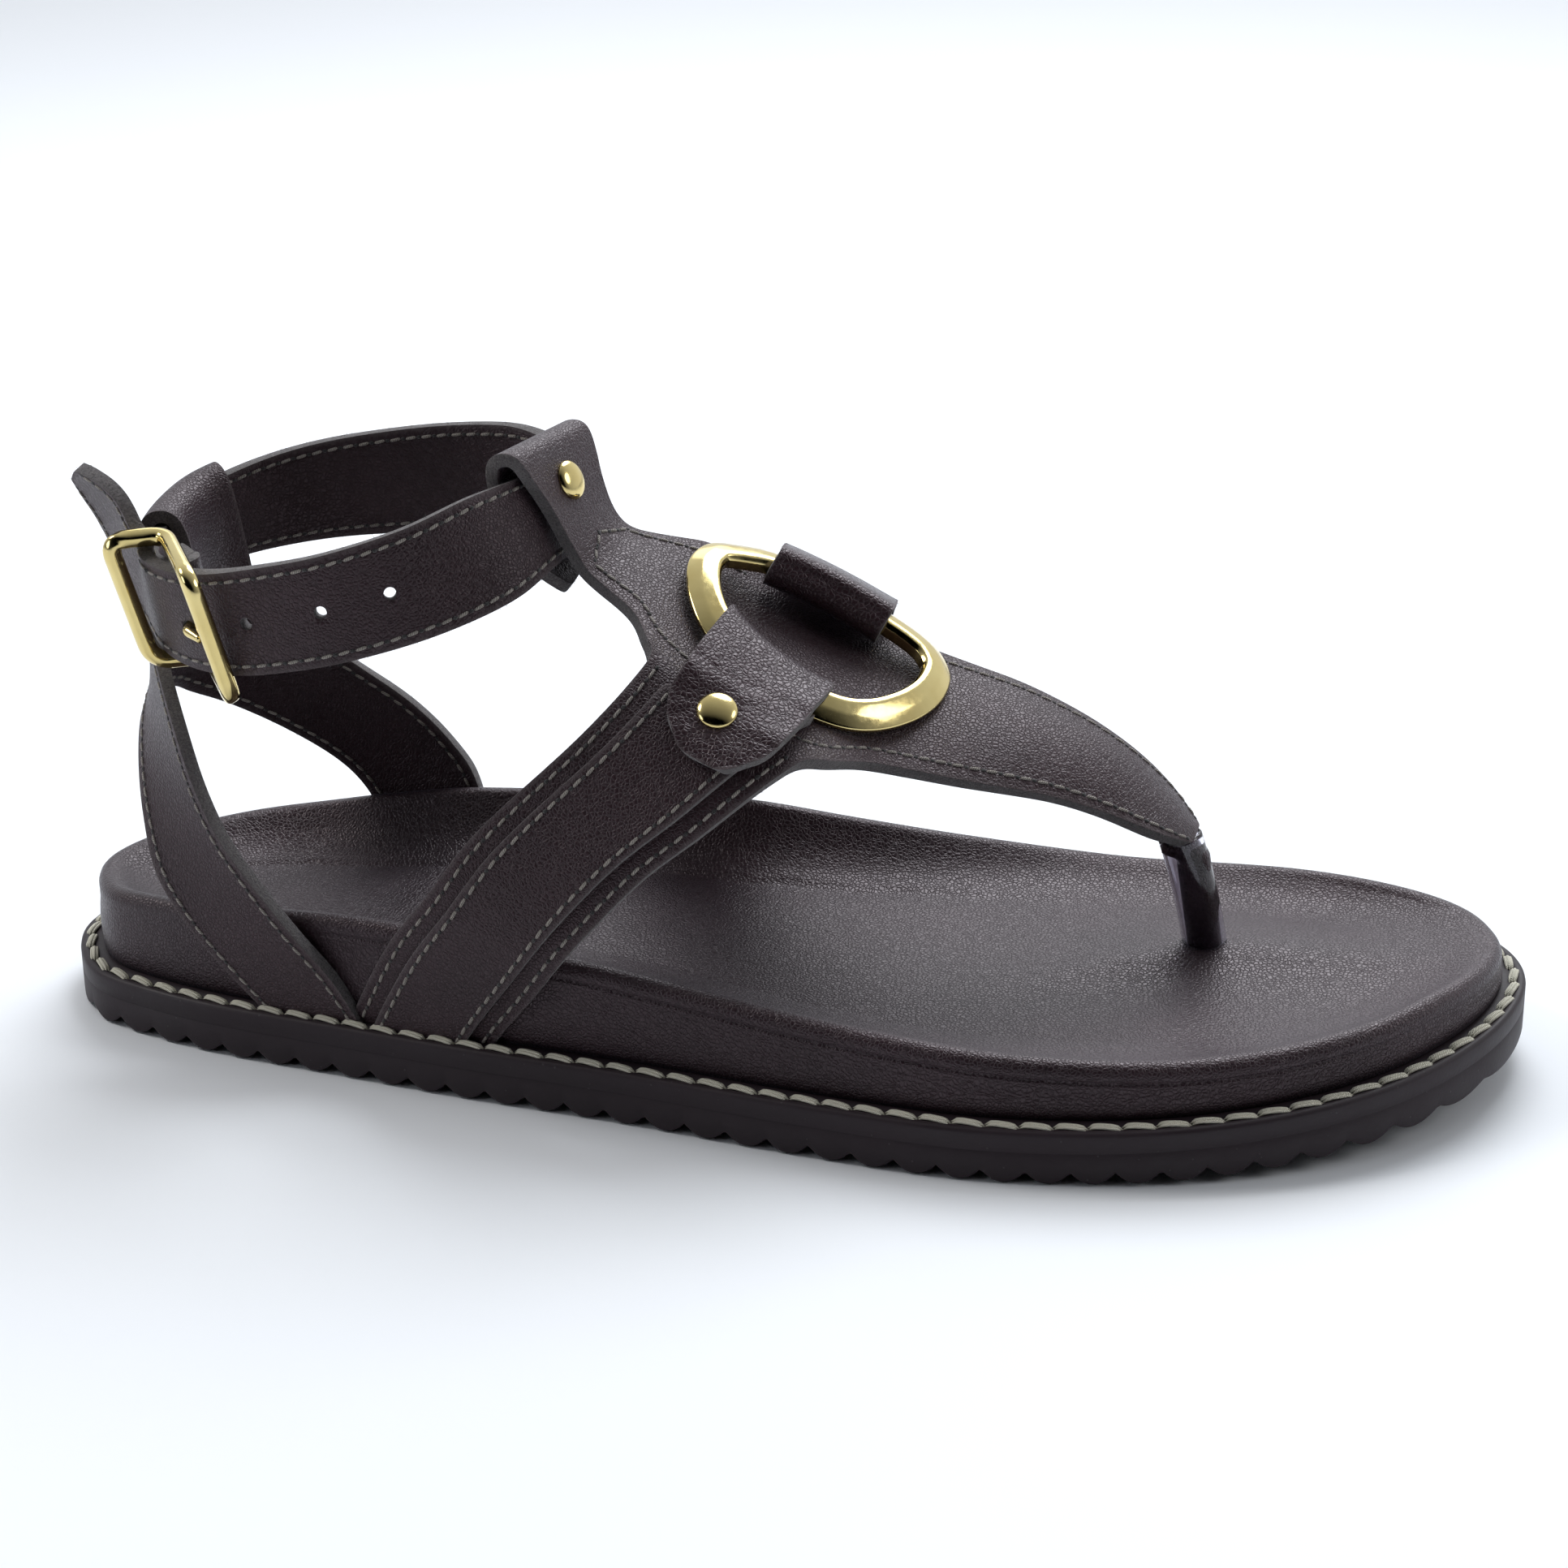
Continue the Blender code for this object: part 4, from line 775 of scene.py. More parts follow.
# The middle sheet with a strap grown from each side of it, and an overlay that lies on each strap:
# grid + normal*(half of both thicknesses), over the middle share of the strap's width.
def buildVamp():
    body = vampGrid()
    points, index = [body.reshape(-1, 3)], numbered(body)
    faces, sides, total = [quads(index)], {}, index.size
    for side, column, outward in (("lateral", 0, 1.0), ("medial", -1, -1.0)):
        first, last = (row * vamp["steps"] for row in vamp[side + "Root"])
        root = body[first:last + 1, column]
        grid = edgeGrid(vamp[side], 2, len(root), root)
        inner = total + np.arange(grid[1:, :, 0].size).reshape(len(grid) - 1, len(root))
        whole = np.vstack([index[first:last + 1, column][None], inner])
        faces.append(quads(whole if side == "lateral" else whole[:, ::-1]))
        points.append(grid[1:].reshape(-1, 3))
        total += inner.size
        sides[side] = (grid, outward)
    points, faces = np.vstack(points), np.vstack(faces)
    faces = faces[:, ::-1]  # so that they point away from the foot
    shape = bmesh.new()
    verts = [shape.verts.new(point) for point in toMetres(points)]
    for face in faces:
        shape.faces.new([verts[k] for k in face])
    bmesh.ops.recalc_face_normals(shape, faces=shape.faces)
    shape.normal_update()
    surface = BVHTree.FromBMesh(shape)
    shape.free()
    obj = leatherSheet("vampLeather", points, faces, [strapLeather, suede], vamp["leather"])
    settle(obj, "strap_leather", "vamp")
    overlays = {}
    for side, (grid, outward) in sides.items():
        margin = (1 - vamp["overlayShare"]) / 2
        normal = gridNormals(grid) * outward
        width = grid.shape[1] - 1
        rows = np.linspace(0.5, len(grid) - 1, 30)[:, None]
        columns = np.linspace(margin, 1 - margin, 7)[None] * width
        lift = vamp["leather"] / 2 + vamp["overlay"] / 2
        sheet = readGrid(grid + normal * lift, rows, columns)
        plies = quads(numbered(sheet)) if side == "medial" else quads(numbered(sheet))[:, ::-1]
        overlay = leatherSheet("overlay" + side.capitalize(), sheet.reshape(-1, 3), plies, [strapLeather, suede],
                               vamp["overlay"], levels=1, rounding=0.25)
        settle(overlay, "strap_leather")
        overlays[side] = (overlay, sheet, readGrid(normal, rows, columns))
    return obj, body, sides, surface, overlays


vampObject, vampBody, vampSides, vampSurface, vampOverlays = buildVamp()


# Seam lines: both edges of the vamp, the V under the instep loop, and four lines down each side strap.
def buildVampSeams():
    tree = meshTree(vampObject)
    normal = gridNormals(vampBody)
    lines = []
    for column, *rows in vamp["edgeSeams"]:
        path = np.linspace(*rows, 60)
        lines.append(lineOn(vampBody, normal, path, column))
    share = np.linspace(0, 1, 20)
    for start, end in zip(vamp["loopSeam"][:-1], vamp["loopSeam"][1:]):
        path = [np.interp(share, (0, 1), (start[k], end[k])) for k in (0, 1)]
        lines.append(lineOn(vampBody, normal, *path))
    for side, (grid, outward) in vampSides.items():
        width, away = grid.shape[1] - 1, gridNormals(grid) * outward
        for share in vamp["strapSeams"]:
            path = np.linspace(0.3, len(grid) - 2.4, 60)
            lines.append(lineOn(grid, away, path, share * width))
    seam("vampSeams", tree, lines)
    for side, (obj, sheet, away) in vampOverlays.items():
        tree, lines = meshTree(obj), []
        for column in vamp["overlaySeams"]:
            path = np.linspace(0.6, len(sheet) - 1.6, 60)
            lines.append(lineOn(sheet, away, path, column))
        seam("overlaySeams" + side.capitalize(), tree, lines)


buildVampSeams()
print("vamp made")


sling = {
    "steps": 4, "columns": 5,
    "rows": (
        (49.4, -29.0, 6.0, 68.2, -32.0, 6.0), (45.4, -28.8, 10.2, 65.4, -32.2, 10.2),
        (37.4, -28.2, 18.5, 60.6, -32.4, 18.5),
        (31.0, -27.2, 26.0, 54.2, -32.2, 26.0), (26.0, -24.6, 33.0, 47.8, -31.6, 34.0),
        (23.0, -20.4, 41.0, 41.4, -30.0, 42.0), (20.4, -14.4, 48.0, 36.6, -28.0, 51.0),
        (18.2, -7.0, 53.6, 32.6, -25.0, 61.0), (17.4, -1.0, 56.4, 25.9, -14.5, 68.7),
        (17.2, 4.0, 57.0, 20.8, -4.6, 75.6), (17.4, 8.4, 56.0, 20.2, 8.0, 76.4),
        (18.4, 13.0, 53.4, 23.6, 17.6, 75.4), (23.8, 20.4, 48.6, 34.0, 24.6, 66.0),
        (32.7, 26.2, 42.0, 46.0, 28.6, 55.6), (41.6, 30.2, 34.6, 56.6, 31.0, 47.2),
        (47.0, 31.8, 27.6, 64.6, 31.8, 38.6), (50.4, 31.9, 19.0, 69.6, 31.2, 30.0),
        (52.0, 31.8, 10.2, 72.4, 30.9, 10.2), (52.6, 31.8, 6.0, 73.4, 30.9, 6.0)),
    "leather": 2.4, "seamColumns": (0.36, 3.64), "seamRows": (3.5, 68.5),
    "sleeveEnds": (-3.6, 18.0), "sleeveColumns": 9,
    "section": ((-5.0, -3.0), (1.0, -3.2), (6.4, -3.2), (9.1, -2.2), (9.9, 0.0), (9.1, 2.2), (6.4, 3.3),
                (-1.0, 3.4), (-8.0, 3.3), (-12.4, 3.0)),
}

ankle = {
    "width": 20.0, "leather": 2.4, "steps": 6, "columns": 5,
    # middle, lean of the width, share of the width, from the buckle round the leg to the free end
    "route": (
        (25.4, -7.2, 83.2, -0.17, -0.2, 0.78), (23.4, 0.0, 83.6, -0.08, -0.08, 0.74),
        (23.2, 8.0, 84.6, -0.02, -0.04, 0.74), (25.6, 15.4, 86.0, 0.0, -0.06, 0.78),
        (33.4, 22.2, 88.0, 0.0, -0.06, 0.86), (44.6, 26.2, 90.2, 0.0, -0.04, 0.93),
        (58.0, 28.2, 91.9, 0.0, 0.0, 0.98), (70.0, 28.4, 93.2, 0.0, 0.0, 1.0),
        (82.0, 25.8, 94.2, -0.06, 0.0, 1.0), (91.6, 20.0, 95.2, -0.20, 0.0, 0.84),
        (96.2, 12.0, 95.4, -0.22, 0.05, 0.76), (94.6, 4.4, 95.6, -0.31, 0.10, 0.78),
        (92.4, -5.0, 95.3, -0.36, 0.16, 0.84), (87.6, -15.0, 93.6, -0.24, 0.2, 0.97),
        (77.4, -24.0, 90.0, -0.10, 0.14, 0.96), (64.0, -29.0, 86.4, -0.04, 0.05, 0.95),
        (52.0, -29.8, 83.9, -0.08, -0.02, 0.95), (43.0, -28.2, 82.3, -0.12, -0.1, 0.95),
        (34.6, -24.4, 81.6, -0.14, -0.16, 0.95), (27.8, -18.8, 82.2, -0.12, -0.16, 0.95),
        (23.6, -13.6, 85.6, 0.1, -0.3, 0.95), (20.2, -11.4, 90.6, 0.5, -0.9, 0.95),
        (17.2, -10.4, 96.0, 0.8, -1.2, 0.84), (13.6, -9.8, 99.8, 0.9, -1.3, 0.58),
        (10.8, -9.6, 102.4, 0.9, -1.3, 0.24)),
    "foldTail": 6.4, "holes": (48.4, 61.0, 73.8), "holeRadius": 1.1, "seamColumns": (0.36, 3.64), "seamStart": 60,
    "prongHole": (36.9, -28.2, 80.3), "prongTip": (40.0, -30.4, 79.7),
}

buckle = {
    "front": (42.6, -32.2, 80.4), "centre": (32.2, -15.6, 82.4), "rear": (23.4, -20.6, 82.4),
    "lean": (-0.18, -0.22, 1.0), "height": 24.6, "corner": 3.5, "wire": 1.5, "centreWire": 1.2, "prongWire": 1.0,
    "gap": 0.3,
}


# Middle, direction, width and normal along a route: the lean less its part along the route gives the width.
def strapFrame(route, steps):
    curve = smoothCurve(route, steps)
    middle = curve[:, :3]
    ahead = unit(np.gradient(middle, axis=0))
    width = np.column_stack([curve[:, 3:5], np.ones(len(curve))])
    width = unit(width - ahead * np.sum(width * ahead, axis=1, keepdims=True))
    return middle, ahead, width, np.cross(ahead, width)


# Chord grid from welt to welt. A strip grows from its upper edge and goes round the ankle strap:
# middle + width*rise + normal*out, at even places along y.
def buildSling():
    grid = edgeGrid(sling["rows"], sling["steps"], sling["columns"])
    index = numbered(grid)
    middle, _, width, normal = strapFrame(ankle["route"][:6], 4)
    places = np.linspace(*sling["sleeveEnds"], sling["sleeveColumns"])
    first = int(np.argmin(np.abs(grid[:, -1, 1] - places[0])))
    roots = index[first:first + sling["sleeveColumns"], -1]
    rows = []
    for rise, out in sling["section"]:
        around = middle + width * rise + normal * out
        rows.append(np.stack([np.interp(places, middle[:, 1], column) for column in around.T], axis=1))
    sleeve = index.size + np.arange(len(rows) * len(places)).reshape(len(rows), len(places))
    points = np.vstack([grid.reshape(-1, 3), np.array(rows).reshape(-1, 3)])
    faces = np.vstack([quads(index), quads(np.vstack([roots, sleeve]))[:, ::-1]])
    obj = leatherSheet("slingLeather", points, faces, [strapLeather, suede], sling["leather"])
    flipWrong(obj)
    settle(obj, "strap_leather", "heel_sling")
    tree, lines, away = meshTree(obj), [], gridNormals(grid)
    (low, high), (start, end) = sling["seamColumns"], sling["seamRows"]
    spans = ((low, start, end), (high, start, first - 1.0), (high, first + sling["sleeveColumns"], end))
    for sign in (1.0, -1.0):
        for column, *span in spans:
            lines.append(lineOn(grid, sign * away, np.linspace(*span, 90), column))
    seam("slingSeams", tree, lines)


buildSling()
print("heel sling made")


# The strap's end lies behind the centre bar, half turns round it, and goes on into its route.
def foldRows():
    bar, first = np.array(buckle["centre"]), np.array(ankle["route"][0][:3])
    along = unit((first - bar) * (1, 1, 0))
    inner = np.array([along[1], -along[0], 0.0])
    radius = buckle["centreWire"] + buckle["gap"] + ankle["leather"] / 2
    turn = np.radians(np.arange(0, 181, 36))[:, None]
    arc = bar + radius * circle(inner, -along, turn)
    points = np.vstack([bar + along * ankle["foldTail"] + inner * 2.4, bar + along * 3.2 + inner * radius, arc,
                        bar + along * 4.0 - inner * radius])
    lean = (buckle["lean"][0], buckle["lean"][1], ankle["route"][0][5])
    return [(*point, *lean) for point in points]


# A place on an upright of the buckle, from its lower end at -1 to its upper end at 1.
def upright(middle, share):
    return np.array(buckle[middle]) + unit(buckle["lean"]) * buckle["height"] / 2 * share


# The prong's eye round the centre bar, then its hole in the strap and its tip.
def prongPath():
    eye, lean = upright("centre", -0.15), unit(buckle["lean"])
    onward = np.array(ankle["prongHole"]) - eye
    onward = unit(onward - lean * np.dot(onward, lean))
    aside = np.cross(lean, onward)
    radius = buckle["centreWire"] + buckle["gap"] + buckle["prongWire"]
    turn = np.radians(np.arange(-270, 1, 15))[:, None]
    arc = eye + radius * circle(aside, onward, turn)
    return np.vstack([arc, ankle["prongHole"], ankle["prongTip"]])


# A round cutter along a line, from start to end millimetres past its foot.
def punch(name, foot, top, radius, start, end):
    axis = unit(np.subtract(top, foot))
    side = unit(np.cross(axis, (0.3, 0.9, 0.2)))
    turn = np.linspace(0, 2 * np.pi, 24, endpoint=False)[None, :, None]
    reach = np.array([start, end])[:, None, None]
    points = np.asarray(foot) + axis * reach + radius * circle(side, np.cross(axis, side), turn)
    index = np.arange(48).reshape(2, 24)
    faces = [*quads(index, wrapColumns=True), index[0, ::-1], index[1]]
    obj = makeMesh(name, points.reshape(-1, 3), faces, [suede])
    flipWrong(obj)
    return obj


# middle + width*share*half width*s, s from -1 to 1, then its holes, the prong's passage and the slot are cut.
def buildAnkleStrap():
    route = [*foldRows(), *ankle["route"]]
    middle, _, width, normal = strapFrame(route, ankle["steps"])
    share = smoothCurve([row[5:] for row in route], ankle["steps"])
    columns = np.linspace(-1.0, 1.0, ankle["columns"])[None, :, None]
    grid = middle[:, None] + width[:, None] * share[:, None] * ankle["width"] / 2 * columns
    index = numbered(grid)
    obj = leatherSheet("ankleLeather", grid.reshape(-1, 3), quads(index), [strapLeather, suede], ankle["leather"],
                       levels=1)
    cutters = []
    lateral = np.nonzero(middle[:, 1] < -18.0)[0]
    for station in ankle["holes"]:
        nearest = lateral[np.argmin(np.abs(middle[lateral, 0] - station))]
        place = middle[nearest]
        cutters.append(punch("hole", place, place + normal[nearest], ankle["holeRadius"], -4, 4))
    eyeSide, hole, _ = prongPath()[-3:]
    cutters.append(punch("passage", eyeSide, hole, buckle["prongWire"] + 0.45, 3.0, 16.0))
    slotRadius = buckle["centreWire"] + 2 * buckle["prongWire"] + ankle["leather"]
    cutters.append(punch("slot", upright("centre", -0.15), upright("centre", 1.0), slotRadius, -1.3, 1.3))
    for cutter in cutters:
        addModifier(obj, "BOOLEAN", operation="DIFFERENCE", solver="EXACT", object=cutter)
    applyModifiers(obj)
    for cutter in cutters:
        bpy.data.objects.remove(cutter, do_unlink=True)
    settle(obj, "strap_leather", "ankle_strap")
    tree, lines = meshTree(obj), []
    start, end = ankle["seamStart"], len(grid) - 4
    for sign in (1.0, -1.0):
        for column in ankle["seamColumns"]:
            path = np.linspace(start, end, 300)
            lines.append((readGrid(grid, path, column),
                          sign * np.stack([np.interp(path, np.arange(len(normal)), k) for k in normal.T], 1)))
    seam("ankleSeams", tree, lines)


buildAnkleStrap()
print("ankle strap made")


# Metal: path + side*profile x + up*profile y, closed into a loop or capped at both ends.
def sweep(name, path, side, up, profile, *nodes, closed=True, sharp=None):
    points = path[:, None] + side[:, None] * profile[None, :, :1] + up[:, None] * profile[None, :, 1:2]
    index = numbered(points)
    faces = [*quads(index, wrapRows=closed, wrapColumns=True)]
    if not closed:
        faces += [index[0, ::-1], index[-1]]
    obj = makePiece(name, points, faces, gold, "gold_metal", *nodes, sharp=sharp)
    if sharp is not None:
        obj.data.set_sharp_from_angle(angle=math.radians(sharp))


# Superellipse outline |x/a|^n + |y/b|^n = 1.
def superellipse(a, b, power, count):
    turn = np.linspace(0, 2 * np.pi, count, endpoint=False)
    x, y = np.cos(turn), np.sin(turn)
    reach = (np.abs(x) ** power + np.abs(y) ** power) ** (-1 / power)
    return np.stack([x * reach * a, y * reach * b], axis=1)


# Side and up vectors along a path that is bent in space: up is the given one less its part along the path.
def pathFrame(path, up, closed=False):
    ahead = (np.roll(path, -1, 0) - np.roll(path, 1, 0)) if closed else np.gradient(path, axis=0)
    ahead = unit(ahead)
    up = np.broadcast_to(np.asarray(up, float), path.shape)
    up = unit(up - ahead * np.sum(up * ahead, axis=1, keepdims=True))
    return np.cross(ahead, up), up


ring = {
    "middle": (140.3, 4.6, 74.3), "along": (0.885, -0.051, -0.462), "face": (0.429, -0.295, 0.854),
    "half": 3.0, "rise": 1.7,
    # outer edge in the ring's plane, along and across
    "outline": (
        (24.6, 10.4), (21.2, 14.4), (16.6, 16.4), (9.0, 17.3), (-2.0, 17.4), (-13.5, 15.8), (-20.0, 12.5),
        (-24.6, 8.6), (-25.9, 3.4), (-24.8, -1.6), (-21.8, -7.2), (-17.2, -12.2), (-11.0, -15.9), (-3.0, -18.2),
        (5.5, -18.7), (13.1, -16.8), (18.6, -12.6), (22.6, -6.6), (24.9, -0.6), (25.6, 5.0)),
    # section, outward and up: inner bevel, ridge, long outer slope, flat underside
    "section": (
        (-3.0, -0.8), (-3.0, 0.9), (-2.3, 1.7), (-1.3, 1.75), (0.9, 0.95), (3.0, -0.5), (2.9, -1.3), (2.3, -1.6),
        (-2.4, -1.6)),
}


def ringAxes():
    face = unit(ring["face"])
    along = unit(np.array(ring["along"]) - np.dot(ring["along"], face) * face)
    return along, np.cross(face, along), face


# Middle line of the ring's bar in its own plane.
def ringPlan():
    curve = smoothCurve(ring["outline"], 12, closed=True)
    return inset(evenPoints(np.vstack([curve, curve[:1]]), 181)[:-1], ring["half"])


# A section with each corner rounded by three points.
def softCorners(corners):
    corners = np.array(corners)
    before, after = np.roll(corners, 1, 0), np.roll(corners, -1, 0)
    soft = np.stack([corners + (before - corners) * 0.16, corners + (before - corners) * 0.04
                     + (after - corners) * 0.04, corners + (after - corners) * 0.16], axis=1)
    return soft.reshape(-1, 2)


def buildRing():
    along, across, face = ringAxes()
    plan = ringPlan()
    path = np.array(ring["middle"]) + plan[:, :1] * along + plan[:, 1:] * across
    side, up = pathFrame(path, face, closed=True)
    sweep("ringGold", path, side, up, softCorners(ring["section"]), "ring", sharp=30)


buildRing()


# Frame: straight uprights joined by corners, before*(1-t)^2 + 2*corner*t*(1-t) + after*t^2.
def buildBuckle():
    corners = np.array([upright("front", -1.0), upright("centre", -1.0), upright("rear", -1.0),
                        upright("rear", 1.0), upright("centre", 1.0), upright("front", 1.0)])
    t = np.linspace(0, 1, 9)[None, :, None]
    before = corners + unit(np.roll(corners, 1, 0) - corners) * buckle["corner"]
    after = corners + unit(np.roll(corners, -1, 0) - corners) * buckle["corner"]
    path = (before[:, None] * (1 - t) ** 2 + 2 * corners[:, None] * t * (1 - t) + after[:, None] * t ** 2)
    path = path.reshape(-1, 3)
    closed = np.vstack([path, path[:1]])
    path = evenPoints(closed, 221)[:-1]
    up = np.cross(np.array(buckle["front"]) - buckle["rear"], buckle["lean"])
    side, up = pathFrame(path, up, closed=True)
    sweep("buckleGold", path, side, up, superellipse(buckle["wire"], buckle["wire"], 2.8, 20), "buckle_frame")
    bar = np.array([upright("centre", share) for share in np.linspace(-0.94, 0.94, 12)])
    side, up = pathFrame(bar, up[0])
    section = superellipse(buckle["centreWire"], buckle["centreWire"], 2.0, 16)
    sweep("centreBar", bar, side, up, section, closed=False)
    path = evenPoints(prongPath(), 60)
    side, up = pathFrame(path, buckle["lean"])
    taper = 1 - 0.35 * np.clip((np.arange(60) - 50) / 9.0, 0, 1)[:, None]
    section = superellipse(buckle["prongWire"], buckle["prongWire"], 2.3, 16)
    sweep("prongGold", path, side * taper, up * taper, section, "buckle_prong", closed=False)


buildBuckle()
print("metal made")


tabs = {
    "leather": 1.9, "halfWidth": 11.4, "offset": {"lateral": -3.2, "medial": -1.6},
    "under": {"lateral": ((9.5, 2.5, 0.9), (5.5, 2.6, 1.0)), "medial": ((2.8, 4.1, 0.84), (1.2, 4.5, 0.88))},
    "upper": ((6.4, 0.66, 1.0), (9.4, 0.38, 1.0), (12.2, 0.16, 0.98), (14.6, 0.04, 0.95), (16.8, 0.0, 0.90),
              (18.8, 0.0, 0.80), (20.8, 0.0, 0.64), (22.2, 0.0, 0.43), (22.9, 0.0, 0.20)),
    "lift": 4.3, "skew": -0.04, "creases": 0.16, "dip": 0.5,
    # share, number round the rivet, phase, twist
    "waves": ((1.0, 7, 0.4, 0.0), (0.8, 11, 2.1, 0.25), (0.6, 17, 1.0, -0.2)),
}


# The nearest place on the vamp's sheet, and its normal on the side that faces out.
def layOn(point, facing):
    found, normal, _, _ = vampSurface.find_nearest(Vector(toMetres(point)))
    normal = np.array(normal)
    return toLast(found), normal if normal @ facing > 0 else -normal


# A walk over the sheet in short straight steps, then up by the lift.
def layAlong(start, heading, facing, distance, lift):
    point, normal = layOn(start, facing)
    steps = max(1, round(distance / 1.5))
    for _ in range(steps):
        heading = unit(heading - normal * (heading @ normal))
        point, normal = layOn(point + heading * distance / steps, facing)
    return point + normal * lift, normal


# Creases that run out from the rivet, and the dip that it presses, both along the normal:
# creases*(sum of a*cos(n*angle + phase + twist*r))*r^2/25*exp(-r/3.6) - dip*exp(-(r/4.2)^2).
def pucker(obj, side):
    corners = readPoints(obj.data)
    centre = readPoints(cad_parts["rivet_" + side].data).mean(0)
    along, across, face = ringAxes()
    outward = across if side == "medial" else -across
    normal = unit(face + outward)
    first = unit(along - normal * (along @ normal))
    second = np.cross(normal, first)
    offset = corners - centre
    u, v = offset @ first, offset @ second
    radius, angle = np.hypot(u, v), np.arctan2(v, u)
    waves = sum(share * np.cos(count * angle + phase + twist * radius)
                for share, count, phase, twist in tabs["waves"])
    near = np.abs(offset @ normal) < 5.0  # of the rivet's middle, along its normal
    shift = near * (tabs["creases"] * waves * radius ** 2 / 25 * np.exp(-radius / 3.6)
                    - tabs["dip"] * np.exp(-(radius / 4.2) ** 2))
    obj.data.vertices.foreach_set("co", toMetres(corners + shift[:, None] * normal).ravel())
    obj.data.update()


# Rows of a folded tab: under ply, half turn round the ring's bar, upper ply over the vamp to its rounded end.
def buildTab(side, sign):
    along, across, face = ringAxes()
    outward = across * sign
    facing, heading = face + outward, unit(outward + along * tabs["skew"])
    plan = ringPlan()
    plan = plan[plan[:, 1] * sign > 2.0]
    plan = plan[np.argsort(plan[:, 0])]
    reach = ring["half"] + 0.2 + tabs["leather"] / 2
    rise = ring["rise"] + 0.2 + tabs["leather"] / 2
    columns = np.linspace(-1.0, 1.0, 9)
    width, offset = tabs["halfWidth"], tabs["offset"][side]

    def barPlace(distance):
        return np.array(ring["middle"]) + along * distance + across * np.interp(distance, plan[:, 0], plan[:, 1])

    middle = barPlace(offset)
    hang = np.linalg.norm(layOn(middle, facing)[0] - middle) + rise

    def laid(distance, hanging, lift, share):
        height = hanging * hang + (1 - hanging) * lift
        centre, normal = layAlong(middle, heading, facing, distance, height)
        sideways = unit(along - normal * (along @ normal))
        found = []
        for column in columns:
            point = centre + sideways * width * share * column
            above = (point - layOn(point, facing)[0]) @ normal
            found.append(point + normal * np.clip(height - above, -1.5, 1.5))
        return found

    bars = [barPlace(offset + width * column) for column in columns]
    rows = [laid(distance, 0.0, lift, share) for distance, lift, share in tabs["under"][side]]
    for turn in np.radians(np.arange(-90, 91, 36)):
        shift = face * (rise + 0.2) * math.sin(turn) - outward * (reach + 0.2) * math.cos(turn)
        rows.append([bar + shift for bar in bars])
    for distance, hanging, share in tabs["upper"]:
        rows.append(laid(distance, hanging, tabs["lift"], share))
    grid = smoothCurve(np.array(rows).reshape(len(rows), -1), 3).reshape(-1, len(columns), 3)
    index = numbered(grid)
    faces = quads(index) if side == "lateral" else quads(index)[:, ::-1]
    obj = leatherSheet("tab" + side.capitalize(), grid.reshape(-1, 3), faces, [tabLeather, suede], tabs["leather"],
                       levels=2, rounding=0.35)
    pucker(obj, side)
    settle(obj, "strap_leather", "ring_tab_" + side)
    return obj


tabObjects = {"lateral": buildTab("lateral", -1.0), "medial": buildTab("medial", 1.0)}
print("tabs made")


rivet = {"radius": 3.55, "height": 2.0, "sunk": 0.5}


# Dome: radius r*sin(t) at height h*(0.34 + 0.66*cos(t)), turned about an axis between that of the solid rivet
# and the leather's normal, and standing on the leather.
def buildRivet(node, facing, tree):
    corners = readPoints(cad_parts[node].data)
    centre = (corners.min(0) + corners.max(0)) / 2
    _, _, axes = np.linalg.svd(corners - corners.mean(0), full_matrices=False)
    normal = axes[2] if axes[2] @ facing > 0 else -axes[2]
    spot, skin, _, _ = tree.find_nearest(Vector(toMetres(centre + normal * 4.0)))
    normal = unit(normal + np.array(skin) * (1.0 if np.array(skin) @ normal > 0 else -1.0))
    foot = toLast(spot) - normal * rivet["sunk"]
    radius, height = rivet["radius"], rivet["height"]
    turn = np.radians(np.linspace(0, 90, 12))
    rise = np.concatenate([height * (0.34 + 0.66 * np.cos(turn)), [height * 0.16, 0.0]])
    reach = np.concatenate([radius * np.sin(turn), [radius - 0.08, radius - 0.5]])
    around = np.linspace(0, 2 * np.pi, 48, endpoint=False)
    side = unit(np.cross(normal, (0.2, 1.0, 0.1)))
    other = np.cross(normal, side)
    points = foot + normal * rise[:, None, None] + reach[:, None, None] * circle(side, other, around[None, :, None])
    index = numbered(points)
    faces = [*quads(index, wrapColumns=True), index[-1]]
    obj = makeMesh(node.replace("_", "") + "Gold", points.reshape(-1, 3), faces, [gold], weld=0.02, sharp=60)
    settle(obj, "gold_metal", node)


for name, facing, holder in (
        ("lateral", (0.3, -0.7, 0.6), tabObjects["lateral"]), ("medial", (0.3, 0.7, 0.6), tabObjects["medial"]),
        ("instep", (0.9, -0.2, 0.3), vampObject)):
    buildRivet("rivet_" + name, facing, meshTree(holder))
print("rivets made")


post = {
    "foot": (211.4, 9.7, 16.2), "top": (207.9, 9.7, 37.6), "radius": 4.0, "wall": 0.7, "rise": 23.2,
    "bend": -0.0035, "socket": 2.0, "thong": (2.9, 1.0), "thongEnd": (-4.6, 0.0, -1.6),
}


